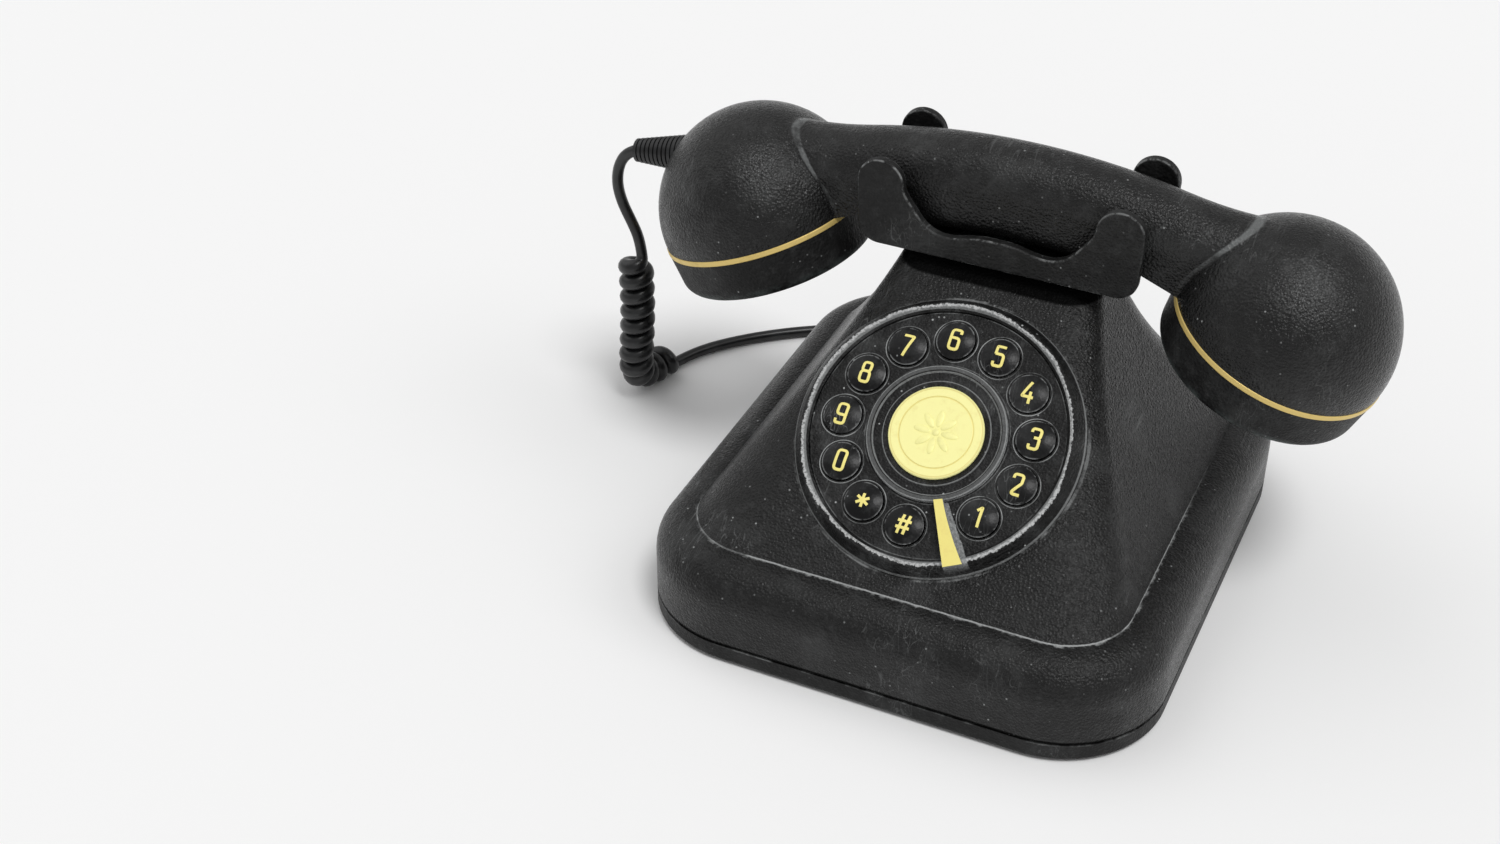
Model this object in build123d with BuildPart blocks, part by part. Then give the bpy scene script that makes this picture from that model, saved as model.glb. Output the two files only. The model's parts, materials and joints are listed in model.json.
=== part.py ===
from build123d import *
import os
from math import cos, pi, radians, sin, sqrt, tan

# A push-button desk telephone laid out like a rotary one.  Millimetres and degrees.
# The origin is the centre of the base's footprint on the table: +X is the caller's right,
# +Y is the rear, +Z is up.

# ---------------------------------------------------------------- driving dimensions
# Base tray and body shell
BASE_W = 158.8              # footprint across
BASE_D = 176.0              # footprint front to rear
BASE_R = 33.0               # footprint corner radius
WALL = 3.0                  # moulded wall
TRAY_GAP = 0.8              # tray above the table, left by the feet
TRAY_RIM = 5.6              # visible height of the tray's rim
TRAY_FLOOR = 2.5            # tray floor thickness
TRAY_LIP = 4.6              # locating lip above the rim
SEAM = 0.7                  # shadow line between tray and shell
FIT = 0.3                   # sliding clearance between fixed pieces
RUN = 0.15                  # running clearance of the hook plunger
SEAT = 0.05                 # air left between pieces that rest on each other

CREASE_Z = 32.3             # height of the crease where the skirt meets the tower
SKIRT_R = 11.9              # rounding of the skirt's shoulder
CREASE_INSET = 12.2         # crease inside the footprint
FACE_TILT = 37.4            # front face and dial, from horizontal
NECK_Z = 97.0               # top of the tower
NECK_HALF = 29.5            # tower top, half width
NECK_DEPTH = 26.676         # tower top, front to rear
NECK_R = 10.0               # tower top, corner radius
SIDE_BOW = 1.22             # hollow of the flanks: 1 is straight
BACK_BOW = 1.9              # hollow of the back
STATIONS = 5                # sections lofted from crease to neck

# Dial
DIAL_UP = 49.6              # dial centre, up the face from the crease
DIAL_RISE = 4.25            # dial plane above the face
BEZEL_R = 42.8
BEZEL_RIDGE = 0.35          # worn ridge above the dial plane
OPENING_R = 38.6            # hole in the shell for the dial
PLATE_R = 37.7              # face plate
PLATE_TOP = -1.3            # face plate below the dial plane
PLATE_T = 2.4
LEDGE_IN = 35.8             # inside of the ledge that carries the face plate
SPIGOT_DEPTH = 10.5         # depth of the bezel's spigot
BUTTON_R = 5.75
BUTTON_GAP = 0.25           # between cap and plate, all round
BUTTON_FLANGE = 0.55        # flange beyond the cap, under the plate
FLANGE_T = 0.8
BUTTON_DOME = 1.3           # height of the domed crown
BUTTON_CROWN = 0.7          # crown above the dial plane
BUTTON_TRAVEL = 1.5
STEM_R = 2.4
PITCH_R = 28.8              # circle of the buttons
FIRST_ANGLE = -46.5         # button 1, counted from the caller's right
BUTTON_STEP = 28.75
STOP_ANGLE = -67.4          # finger stop
STOP_LEAN = 3.0             # outer end leans this way from the inner one
BOSS_R = 2.0                # screw bosses inside the bezel
BOSS_PITCH = 33.9
HUB_R = 20.6
DISC_R = 14.1
BOARD_T = 1.6
MAT_T = 1.0

# Cradle and hook
CRADLE_BACK = 13.3          # middle of the cradle, forward of the tower top's rear face
CRADLE_GAP = 32.0           # clear width between the two plates
CRADLE_T = 3.0              # plate thickness
SADDLE_T = 3.0              # floor between the plates
CRADLE_HALF = 43.0          # half length at the bottom
CRADLE_CORNER = 6.5         # rounding of its lower corners
EAR_X = 36.6
EAR_Z = 117.7
EAR_R = 7.3
HOOK_TRAVEL = 4.0
PLUNGER_R = 3.0
PAD_W = 16.0
PAD_D = 12.0

# Handset
CUP_X = 81.9                # band centre from the middle
CUP_Z = 86.1
CUP_TILT = 21.2             # cups turned toward each other
DOME_R = 33.25
DOME_RISE = 2.76            # dome centre above the band plane
BAND_H = 1.8
BAND_PROUD = 0.2
CAP_DEPTH = 14.9            # cap below the band plane
CAP_R = 31.4                # cap radius at its edge
CAP_ROUND = 4.2
CAP_WALL = 2.6
SHELL_WALL = 3.5
THREAD_R = 29.3             # threaded spigot of a cap
THREAD_H = 5.0
HANDLE_W = 25.0
HANDLE_TOP = 128.9          # handle at the middle
HANDLE_H = 26.3
HANDLE_R = 226.0            # arch of the handle
BOW_X = 50.0                # the arch ends here and flares to the cups
ROUND_R = 11.8              # rounding of the handle's upper edges
ROUND_LOW_R = 5.0           # rounding of its lower edges
WIRE_BORE_R = 4.0

# Cord
CORD_R = 1.9
COIL_R = 5.5                # outside of the coil
RELIEF_R = 6.0              # strain relief at the dome
RELIEF_TIP_R = 3.7
RELIEF_L = 18.0             # ribbed length, its root cut to the dome
RELIEF_TILT = 9.0           # below the horizontal
RELIEF_RIBS = 11
STEM_PLUG_R = 3.5           # plug through the dome's wall

# ---------------------------------------------------------------- planes worked out from them
SHELL_Z = TRAY_GAP + TRAY_RIM + SEAM
FLOOR_Z = TRAY_GAP + TRAY_FLOOR
CREASE_FRONT = -BASE_D / 2 + CREASE_INSET
CREASE_BACK = BASE_D / 2 - CREASE_INSET
CREASE_HALF = BASE_W / 2 - CREASE_INSET
CREASE_R = BASE_R - CREASE_INSET
NECK_FRONT = CREASE_FRONT + (NECK_Z - CREASE_Z) / tan(radians(FACE_TILT))
NECK_BACK = NECK_FRONT + NECK_DEPTH
CRADLE_Y = NECK_BACK - CRADLE_BACK    # middle of the cradle and of the handset
FACE_UP = Vector(0, cos(radians(FACE_TILT)), sin(radians(FACE_TILT)))
FACE_OUT = Vector(0, -sin(radians(FACE_TILT)), cos(radians(FACE_TILT)))
DIAL_CENTRE = Vector(0, CREASE_FRONT, CREASE_Z) + FACE_UP * DIAL_UP + FACE_OUT * DIAL_RISE
DIAL = Plane(origin=DIAL_CENTRE, x_dir=(1, 0, 0), z_dir=FACE_OUT)
SADDLE_Z = NECK_Z + SADDLE_T


def profile_plane(base):
    """The plane through a turned piece's axis: local x is the radius, local y the axis."""
    return Plane(origin=base.origin, x_dir=base.x_dir, z_dir=base.x_dir.cross(base.z_dir))


def turning_axis(base):
    return Axis(base.origin, base.z_dir)


def cup_plane(side):
    """The band plane of a cup: side is -1 on the left, +1 on the right, +Z into the dome."""
    tilt = radians(CUP_TILT)
    return Plane(origin=(side * CUP_X, CRADLE_Y, CUP_Z), x_dir=(0, 1, 0),
                 z_dir=(side * sin(tilt), 0, cos(tilt)))


def button_places(radius=PITCH_R):
    """Centres of the twelve buttons in the dial plane, 1 to 9, 0, star and hash."""
    angles = [radians(FIRST_ANGLE + BUTTON_STEP * k) for k in range(12)]
    return [(radius * cos(a), radius * sin(a)) for a in angles]


def keep(part, name):
    part.label = name
    export_step(part, "parts/" + name + ".step")


os.makedirs("parts", exist_ok=True)

# ---------------------------------------------------------------- base tray
SCREW_SPOTS = [(x * (BASE_W / 2 - 17.4), y * (BASE_D / 2 - 42)) for x in (-1, 1) for y in (-1, 1)]
FOOT_SPOTS = [(x * (BASE_W / 2 - 27.4), y * (BASE_D / 2 - 18)) for x in (-1, 1) for y in (-1, 1)]
FOOT_R = 7.0
FOOT_H = 2.4
SCREW_R = 1.5
SCREW_HEAD_R = 3.0
SCREW_HEAD_H = 1.6
SPEAKER_R = 24.0
SPEAKER_SPOT = (-30.0, 32.0)
BOARD_W = 92.0
BOARD_D = 46.0
BOARD_Y = -34.0
STANDOFF_H = 5.0
STANDOFF_SPOTS = [(x * (BOARD_W / 2 - 5), BOARD_Y + y * (BOARD_D / 2 - 5)) for x in (-1, 1) for y in (-1, 1)]
BALLAST_SIZE = (50.0, 60.0, 8.0)
BALLAST_SPOT = (BASE_W / 2 - 49.4, 28.0)
JACK_X = 36.0               # line socket in the rear wall
JACK_Z = 13.2
JACK_W = 12.4
JACK_H = 10.4
GLAND_X = -36.0             # handset cord's gland in the rear wall
GLAND_Z = 11.6
GLAND_R = 3.4
GRILLE_PITCH = 6.0          # rings of 6, 12 and 18 holes round a middle one
GRILLE_REACH = 20.0

with BuildPart() as base_tray:
    with BuildSketch(Plane.XY.offset(TRAY_GAP)):
        RectangleRounded(BASE_W, BASE_D, BASE_R)
    extrude(amount=TRAY_RIM)
    fillet(base_tray.edges().group_by(Axis.Z)[0], 1.2)
    with BuildSketch(Plane.XY.offset(TRAY_GAP + TRAY_RIM)):
        RectangleRounded(BASE_W - 2 * (WALL + FIT), BASE_D - 2 * (WALL + FIT), BASE_R - WALL - FIT)
    extrude(amount=TRAY_LIP)
    with BuildSketch(Plane.XY.offset(FLOOR_Z)):
        inset = WALL + FIT + 1.8
        RectangleRounded(BASE_W - 2 * inset, BASE_D - 2 * inset, BASE_R - inset)
    extrude(amount=TRAY_RIM + TRAY_LIP, mode=Mode.SUBTRACT)
    with BuildSketch(Plane.XY.offset(TRAY_GAP + TRAY_RIM)):
        with Locations((JACK_X, BASE_D / 2)):
            Rectangle(JACK_W + 5, 20)
        with Locations((GLAND_X, BASE_D / 2)):
            Rectangle(4 * GLAND_R, 20)
    extrude(amount=TRAY_LIP, mode=Mode.SUBTRACT)
    with BuildSketch(Plane.XY.offset(FLOOR_Z)):
        with Locations(STANDOFF_SPOTS):
            Circle(3.0)
    extrude(amount=STANDOFF_H)
    with Locations([(x, y, FLOOR_Z + STANDOFF_H) for x, y in STANDOFF_SPOTS]):
        Hole(1.1, depth=STANDOFF_H)
    with BuildSketch(Plane.XY.offset(TRAY_GAP)):
        with Locations(FOOT_SPOTS):
            Circle(FOOT_R + FIT)
    extrude(amount=FOOT_H - TRAY_GAP, mode=Mode.SUBTRACT)
    with BuildSketch(Plane.XY.offset(TRAY_GAP)):
        with Locations(SCREW_SPOTS):
            Circle(SCREW_R + FIT)
        with Locations(SPEAKER_SPOT):
            Circle(1.3)
        for ring in range(1, 1 + int(GRILLE_REACH / GRILLE_PITCH)):
            with Locations(SPEAKER_SPOT):
                with PolarLocations(ring * GRILLE_PITCH, 6 * ring):
                    Circle(1.3)
    extrude(amount=TRAY_FLOOR, mode=Mode.SUBTRACT)
    with BuildSketch(Plane.XY.offset(TRAY_GAP)):
        with Locations(SCREW_SPOTS):
            Circle(SCREW_HEAD_R + FIT)
    extrude(amount=SCREW_HEAD_H, mode=Mode.SUBTRACT)
keep(base_tray.part, "base_tray")

with BuildPart() as rubber_feet:
    with BuildSketch():
        with Locations(FOOT_SPOTS):
            Circle(FOOT_R)
    extrude(amount=FOOT_H - SEAT)
    chamfer(rubber_feet.edges().group_by(Axis.Z)[0], 0.5)
keep(rubber_feet.part, "rubber_feet")

BASE_SCREW_L = 14.0
with BuildPart() as base_screws:
    with BuildSketch(Plane.XY.offset(TRAY_GAP + 0.2)):
        with Locations(SCREW_SPOTS):
            Circle(SCREW_HEAD_R)
    extrude(amount=SCREW_HEAD_H - 0.2 - SEAT)
    with BuildSketch(Plane.XY.offset(TRAY_GAP + 0.2)):
        with Locations(SCREW_SPOTS):
            Circle(SCREW_R)
    extrude(amount=BASE_SCREW_L)
keep(base_screws.part, "base_screws")


# ---------------------------------------------------------------- body shell
def tower_section(t, drop=0.0, side=0.0, front=0.0, back=0.0):
    """One rounded rectangle of the tower: t runs from 0 at the crease to 1 at the neck."""
    z = CREASE_Z + t * (NECK_Z - CREASE_Z)
    half = NECK_HALF + (CREASE_HALF - NECK_HALF) * (1 - t) ** SIDE_BOW - side
    y_front = CREASE_FRONT + (z - CREASE_Z) / tan(radians(FACE_TILT)) + front
    y_back = NECK_BACK + (CREASE_BACK - NECK_BACK) * (1 - t) ** BACK_BOW - back
    corner = NECK_R + (CREASE_R - NECK_R) * (1 - t) - side
    with BuildSketch(Plane.XY.offset(z - drop)) as section:
        with Locations((0, (y_front + y_back) / 2)):
            RectangleRounded(2 * half, y_back - y_front, corner)
    return section.sketch


POST_R = 4.2
HOOK_SCREW_SPOTS = [(x * 18.0, CRADLE_Y) for x in (-1, 1)]
BRACKET_SCREW_SPOTS = [(x * 7.0, CRADLE_Y + 8.8) for x in (-1, 1)]
SMALL_SCREW_R = 1.2

# the room inside the shell, less the four screw posts
with BuildPart() as shell_room:
    with BuildSketch(Plane.XY.offset(SHELL_Z)):
        RectangleRounded(BASE_W - 2 * WALL, BASE_D - 2 * WALL, BASE_R - WALL)
    extrude(amount=CREASE_Z - WALL - SHELL_Z)
    fillet(shell_room.edges().group_by(Axis.Z)[-1], SKIRT_R - WALL)
    loft([tower_section(k / (STATIONS - 1), drop=WALL, side=0.6 * WALL, front=WALL / 3, back=0.8 * WALL)
          for k in range(STATIONS)])
    with BuildSketch(Plane.XY.offset(SHELL_Z)):
        with Locations(SCREW_SPOTS):
            Circle(POST_R)
    extrude(amount=NECK_Z, mode=Mode.SUBTRACT)

with BuildPart() as body_shell:
    with BuildSketch(Plane.XY.offset(SHELL_Z)):
        RectangleRounded(BASE_W, BASE_D, BASE_R)
    extrude(amount=CREASE_Z - SHELL_Z)
    fillet(body_shell.edges().group_by(Axis.Z)[-1], SKIRT_R)
    loft([tower_section(k / (STATIONS - 1)) for k in range(STATIONS)])
    add(shell_room.part, mode=Mode.SUBTRACT)
    with BuildSketch(Plane.XY.offset(FLOOR_Z + SEAT)):
        with Locations(SCREW_SPOTS):
            Circle(POST_R)
    extrude(amount=SHELL_Z - FLOOR_Z)
    with BuildSketch(Plane.XY.offset(FLOOR_Z)):
        with Locations(SCREW_SPOTS):
            Circle(SCREW_R + SEAT)
    extrude(amount=BASE_SCREW_L, mode=Mode.SUBTRACT)
    with BuildSketch(DIAL.offset(2 * WALL - DIAL_RISE)):
        Circle(OPENING_R)
    extrude(amount=-4 * WALL, mode=Mode.SUBTRACT)
    with BuildSketch(Plane.XY.offset(NECK_Z - 2 * WALL)):
        with Locations((0, CRADLE_Y)):
            Circle(PLUNGER_R + RUN)
        with Locations(HOOK_SCREW_SPOTS + BRACKET_SCREW_SPOTS):
            Circle(SMALL_SCREW_R + SEAT)
    extrude(amount=2 * WALL, mode=Mode.SUBTRACT)
    with BuildSketch(Plane.XZ.offset(-BASE_D / 2)):
        with Locations((JACK_X, JACK_Z)):
            Rectangle(JACK_W + 2 * SEAT, JACK_H + 2 * SEAT)
        with Locations((GLAND_X, GLAND_Z)):
            Circle(GLAND_R + SEAT)
    extrude(amount=2 * WALL, mode=Mode.SUBTRACT)
keep(body_shell.part, "body_shell")

# ---------------------------------------------------------------- inside the base
BOARD_Z = FLOOR_Z + STANDOFF_H + SEAT
with BuildPart() as main_board:
    with BuildSketch(Plane.XY.offset(BOARD_Z)):
        with Locations((0, BOARD_Y)):
            RectangleRounded(BOARD_W, BOARD_D, 2)
        with Locations(STANDOFF_SPOTS):
            Circle(1.1 + SEAT, mode=Mode.SUBTRACT)
    extrude(amount=BOARD_T)
    with BuildSketch(Plane.XY.offset(BOARD_Z + BOARD_T)):
        with Locations((-22, BOARD_Y - 6)):
            Rectangle(16, 8)
        with Locations((4, BOARD_Y + 6)):
            Rectangle(12, 12)
        with Locations((28, BOARD_Y + 2)):
            Circle(4)
    extrude(amount=5)
keep(main_board.part, "main_board")

with BuildPart() as board_screws:
    with BuildSketch(Plane.XY.offset(BOARD_Z + BOARD_T + SEAT)):
        with Locations(STANDOFF_SPOTS):
            Circle(2.2)
    extrude(amount=1.4)
    with BuildSketch(Plane.XY.offset(BOARD_Z + BOARD_T + SEAT)):
        with Locations(STANDOFF_SPOTS):
            Circle(1.1 - SEAT)
    extrude(amount=-BOARD_T - STANDOFF_H + 1)
keep(board_screws.part, "board_screws")

with BuildPart() as ballast_weight:
    with BuildSketch(Plane.XY.offset(FLOOR_Z)):
        with Locations(BALLAST_SPOT):
            RectangleRounded(BALLAST_SIZE[0], BALLAST_SIZE[1], 3)
    extrude(amount=BALLAST_SIZE[2])
keep(ballast_weight.part, "ballast_weight")

SPEAKER = Plane(origin=(SPEAKER_SPOT[0], SPEAKER_SPOT[1], FLOOR_Z), x_dir=(1, 0, 0), z_dir=(0, 0, 1))
with BuildPart() as ringer_speaker:
    with BuildSketch(profile_plane(SPEAKER)):
        with BuildLine():
            Polyline((SPEAKER_R - 3, 0), (SPEAKER_R, 0), (SPEAKER_R, 2), (13, 8), (13, 14), (0, 14),
                     (0, 3), (6, 3), (SPEAKER_R - 3, 1), close=True)
        make_face()
    revolve(axis=turning_axis(SPEAKER))
keep(ringer_speaker.part, "ringer_speaker")

JACK_DEPTH = 14.0
with BuildPart() as line_jack:
    with BuildSketch(Plane.XZ.offset(-BASE_D / 2)):
        with Locations((JACK_X, JACK_Z)):
            Rectangle(JACK_W, JACK_H)
    extrude(amount=JACK_DEPTH)
    with BuildSketch(Plane.XZ.offset(-BASE_D / 2 + WALL + SEAT)):
        with Locations((JACK_X, JACK_Z)):
            Rectangle(JACK_W + 3, JACK_H)
    extrude(amount=2)
    with BuildSketch(Plane.XZ.offset(-BASE_D / 2)):
        with Locations((JACK_X, JACK_Z)):
            Rectangle(JACK_W - 2.4, JACK_H - 3)
    extrude(amount=JACK_DEPTH - 1.5, mode=Mode.SUBTRACT)
keep(line_jack.part, "line_jack")

# ---------------------------------------------------------------- dial
BEZEL_FOOT = -DIAL_RISE
LEDGE_TOP = PLATE_TOP - PLATE_T - SEAT
BOSS_ANGLES = [STOP_ANGLE] + [FIRST_ANGLE + BUTTON_STEP * (k + 0.5) for k in (2, 5, 8)]
BOSS_SPOTS = [(BOSS_PITCH * cos(radians(a)), BOSS_PITCH * sin(radians(a))) for a in BOSS_ANGLES]
with BuildPart() as dial_bezel:
    with BuildSketch(profile_plane(DIAL)):
        with BuildLine():
            Polyline((BEZEL_R, BEZEL_FOOT), (BEZEL_R, BEZEL_FOOT + 0.6), (BEZEL_R - 2.3, 0.1),
                     (BEZEL_R - 2.7, BEZEL_RIDGE), (BEZEL_R - 3.7, BEZEL_RIDGE), (PLATE_R + 0.6, -0.4),
                     (PLATE_R + 0.2, -0.7), (PLATE_R + 0.2, LEDGE_TOP), (LEDGE_IN, LEDGE_TOP),
                     (LEDGE_IN, -SPIGOT_DEPTH), (OPENING_R - FIT, -SPIGOT_DEPTH),
                     (OPENING_R - FIT, BEZEL_FOOT), close=True)
        make_face()
    revolve(axis=turning_axis(DIAL))
    with BuildSketch(DIAL.offset(-SPIGOT_DEPTH)):
        with Locations(BOSS_SPOTS):
            Circle(BOSS_R)
    extrude(amount=SPIGOT_DEPTH + LEDGE_TOP)
    with BuildSketch(DIAL.offset(-SPIGOT_DEPTH)):
        with Locations(BOSS_SPOTS):
            Circle(0.9)
    extrude(amount=4.5, mode=Mode.SUBTRACT)
keep(dial_bezel.part, "dial_bezel")

HUB_PIN_R = 5.0
with BuildPart() as dial_face_plate:
    with BuildSketch(DIAL.offset(PLATE_TOP)):
        Circle(PLATE_R)
        with Locations(button_places()):
            Circle(BUTTON_R + BUTTON_GAP, mode=Mode.SUBTRACT)
        Circle(HUB_PIN_R + SEAT, mode=Mode.SUBTRACT)
    extrude(amount=-PLATE_T)
keep(dial_face_plate.part, "dial_face_plate")

DISC_FLOOR = PLATE_TOP + 0.6
with BuildPart() as dial_hub:
    with BuildSketch(profile_plane(DIAL)):
        with BuildLine():
            Polyline((0, PLATE_TOP - PLATE_T), (HUB_PIN_R, PLATE_TOP - PLATE_T), (HUB_PIN_R, PLATE_TOP + SEAT),
                     (HUB_R, PLATE_TOP + SEAT), (HUB_R, -0.1), (HUB_R - 0.4, 0.2), (HUB_R - 1.3, 0.2),
                     (HUB_R - 1.8, -0.3), (HUB_R - 1.8, -0.6), (DISC_R + 2.0, -0.6), (DISC_R + 1.8, -0.35),
                     (DISC_R + 1.2, -0.35), (DISC_R + 0.2, -0.6), (DISC_R + 0.2, DISC_FLOOR),
                     (0, DISC_FLOOR), close=True)
        make_face()
    revolve(axis=turning_axis(DIAL))
keep(dial_hub.part, "dial_hub")

DISC_TOP = 0.25
with BuildPart() as centre_disc:
    with BuildSketch(profile_plane(DIAL)):
        with BuildLine():
            Polyline((0, DISC_FLOOR + SEAT), (DISC_R, DISC_FLOOR + SEAT), (DISC_R, DISC_TOP - 0.3),
                     (DISC_R - 0.3, DISC_TOP), (0.79 * DISC_R, DISC_TOP), (0.785 * DISC_R, DISC_TOP - 0.12),
                     (0.77 * DISC_R, DISC_TOP - 0.12), (0.765 * DISC_R, DISC_TOP), (0, DISC_TOP), close=True)
        make_face()
    revolve(axis=turning_axis(DIAL))
keep(centre_disc.part, "centre_disc")

# the fixed bar that a turning dial would stop against
STOP_IN = HUB_R + 0.2
STOP_OUT = BEZEL_R - 2.0
STOP_FOOT_OUT = PLATE_R - 0.3
STOP_TOP = 2.1
STOP_W_IN = 2.6
STOP_W_OUT = 5.6


def stop_outline(plane, outer):
    """The bar's plan from the hub out to radius outer: one straight edge, one curved."""
    share = (outer - STOP_IN) / (STOP_OUT - STOP_IN)
    width = STOP_W_IN + (STOP_W_OUT - STOP_W_IN) * share ** 2
    lean = radians(STOP_ANGLE + STOP_LEAN * share)
    start = radians(STOP_ANGLE - STOP_LEAN / 2)
    inner_mid = Vector(STOP_IN * cos(start), STOP_IN * sin(start))
    outer_mid = Vector(outer * cos(lean), outer * sin(lean))
    across_in = Vector(-sin(start), cos(start))
    across_out = Vector(-sin(lean), cos(lean))
    a = inner_mid - across_in * (STOP_W_IN / 2)
    b = outer_mid - across_out * (width / 2)
    c = outer_mid + across_out * (width / 2)
    d = inner_mid + across_in * (STOP_W_IN / 2)
    with BuildSketch(plane) as outline:
        with BuildLine():
            Line(a, b)
            Line(b, c)
            ThreePointArc(c, (c + d) * 0.5 - across_in * (0.5 * share), d)
            Line(d, a)
        make_face()
    return outline.sketch


with BuildPart() as finger_stop:
    extrude(stop_outline(DIAL.offset(BEZEL_RIDGE + SEAT), STOP_OUT), amount=STOP_TOP - BEZEL_RIDGE - SEAT)
    extrude(stop_outline(DIAL.offset(PLATE_TOP + SEAT), STOP_FOOT_OUT), amount=BEZEL_RIDGE - PLATE_TOP)
keep(finger_stop.part, "finger_stop")

MAT_TOP = PLATE_TOP - PLATE_T - 4.6
with BuildPart() as key_mat:
    with BuildSketch(DIAL.offset(MAT_TOP - MAT_T)):
        Circle(LEDGE_IN - FIT)
        with Locations(BOSS_SPOTS):
            Circle(BOSS_R + FIT, mode=Mode.SUBTRACT)
    extrude(amount=MAT_T)
    with BuildSketch(DIAL.offset(MAT_TOP)):
        with Locations(button_places()):
            Circle(4.0)
    extrude(amount=0.8)
keep(key_mat.part, "key_mat")

with BuildPart() as keypad_board:
    with BuildSketch(DIAL.offset(MAT_TOP - MAT_T)):
        Circle(LEDGE_IN - FIT)
        with Locations(BOSS_SPOTS):
            Circle(BOSS_R + FIT, mode=Mode.SUBTRACT)
    extrude(amount=-(SPIGOT_DEPTH + MAT_TOP - MAT_T) + SEAT)
keep(keypad_board.part, "keypad_board")

BACK_R = OPENING_R + 2.4
BACK_T = 2.0
PAD_R = 1.1                 # pads that clamp the shell's wall
PAD_IN = 0.15               # pads inside the plate's edge
PADS = 3
with BuildPart() as dial_back_plate:
    with BuildSketch(DIAL.offset(-SPIGOT_DEPTH - SEAT)):
        Circle(BACK_R)
        with Locations(BOSS_SPOTS):
            Circle(1.2, mode=Mode.SUBTRACT)
    extrude(amount=-BACK_T)
    with BuildSketch(DIAL.offset(-SPIGOT_DEPTH - SEAT)):
        with PolarLocations(BACK_R - PAD_R - PAD_IN, PADS, start_angle=-30):
            Circle(PAD_R)
    extrude(amount=SPIGOT_DEPTH - DIAL_RISE - WALL - FIT)
keep(dial_back_plate.part, "dial_back_plate")

with BuildPart() as dial_screws:
    with BuildSketch(DIAL.offset(-SPIGOT_DEPTH - BACK_T - 2 * SEAT)):
        with Locations(BOSS_SPOTS):
            Circle(2.0)
    extrude(amount=-1.4)
    with BuildSketch(DIAL.offset(-SPIGOT_DEPTH - BACK_T - 2 * SEAT)):
        with Locations(BOSS_SPOTS):
            Circle(0.9 - SEAT)
    extrude(amount=BACK_T + 4)
keep(dial_screws.part, "dial_screws")

BUTTON_NAMES = ["1", "2", "3", "4", "5", "6", "7", "8", "9", "0", "star", "hash"]
FLANGE_TOP = PLATE_TOP - PLATE_T - 0.2
RIM_TOP = BUTTON_CROWN - BUTTON_DOME
CROWN_R = (BUTTON_R ** 2 + BUTTON_DOME ** 2) / (2 * BUTTON_DOME)
for face_name, (x, y) in zip(BUTTON_NAMES, button_places()):
    SPOT = Plane(origin=DIAL.from_local_coords(Vector(x, y, 0)), x_dir=DIAL.x_dir, z_dir=DIAL.z_dir)
    with BuildPart() as button:
        with BuildSketch(profile_plane(SPOT)):
            with BuildLine():
                Polyline((0, BUTTON_CROWN), (0, FLANGE_TOP - FLANGE_T - 1.2), (STEM_R, FLANGE_TOP - FLANGE_T - 1.2),
                         (STEM_R, FLANGE_TOP - FLANGE_T), (BUTTON_R + BUTTON_FLANGE, FLANGE_TOP - FLANGE_T),
                         (BUTTON_R + BUTTON_FLANGE, FLANGE_TOP), (BUTTON_R, FLANGE_TOP), (BUTTON_R, RIM_TOP))
                RadiusArc((BUTTON_R, RIM_TOP), (0, BUTTON_CROWN), -CROWN_R)
            make_face()
        revolve(axis=turning_axis(SPOT))
    keep(button.part, "button_" + face_name)

# ---------------------------------------------------------------- cradle and hook
CRADLE_FRONT = CRADLE_Y - CRADLE_GAP / 2 - CRADLE_T


def cradle_outline(y_face):
    """One plate's outline: rounded ears, a dip beside each and a low hump in the middle."""
    ear_out = EAR_X + EAR_R
    with BuildSketch(Plane.XZ.offset(-y_face)) as outline:
        with BuildLine():
            bottom = Polyline((0, NECK_Z), (CRADLE_HALF, NECK_Z), (ear_out, EAR_Z))
            over = ThreePointArc(bottom @ 1, (EAR_X, EAR_Z + EAR_R), (EAR_X - EAR_R + 0.05, EAR_Z + 0.6))
            inner = Spline(over @ 1, (26.4, NECK_Z + 15), (22.4, NECK_Z + 10), (16.8, NECK_Z + 7.4),
                           (8, NECK_Z + 8.6), (0, NECK_Z + 9.3), tangents=[(0, -1), (-1, 0)])
            Line(inner @ 1, (0, NECK_Z))
        make_face()
        mirror(about=Plane.YZ)
    return outline.sketch


with BuildPart() as cradle:
    for y_face in (CRADLE_FRONT, CRADLE_FRONT + CRADLE_GAP + CRADLE_T):
        extrude(cradle_outline(y_face), amount=-CRADLE_T)
    fillet(cradle.edges().filter_by(Axis.Y).group_by(Axis.Z)[0], CRADLE_CORNER)
    plates = cradle.faces().filter_by(Axis.Y).sort_by(Axis.Y)
    fillet(plates[0].edges() + plates[1].edges() + plates[-2].edges() + plates[-1].edges(), 0.7)
    with BuildSketch(Plane.XY.offset(NECK_Z + 0.02)):
        with Locations((0, CRADLE_Y)):
            Rectangle(2 * (CRADLE_HALF - CRADLE_CORNER - 1), CRADLE_GAP + 2 * CRADLE_T - 2)
    extrude(amount=SADDLE_T)
    with BuildSketch(Plane.XY.offset(NECK_Z)):
        with Locations((0, CRADLE_Y)):
            Circle(PLUNGER_R + RUN)
    extrude(amount=2 * SADDLE_T, mode=Mode.SUBTRACT)
    with BuildSketch(Plane.XY.offset(NECK_Z + 1)):
        with Locations((0, CRADLE_Y)):
            Circle(PLUNGER_R + 2.4)
    extrude(amount=2 * SADDLE_T, mode=Mode.SUBTRACT)
    with BuildSketch(Plane.XY.offset(NECK_Z)):
        with Locations(HOOK_SCREW_SPOTS):
            Circle(SMALL_SCREW_R + SEAT)
    extrude(amount=SADDLE_T - 1, mode=Mode.SUBTRACT)
keep(cradle.part, "cradle")

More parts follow.
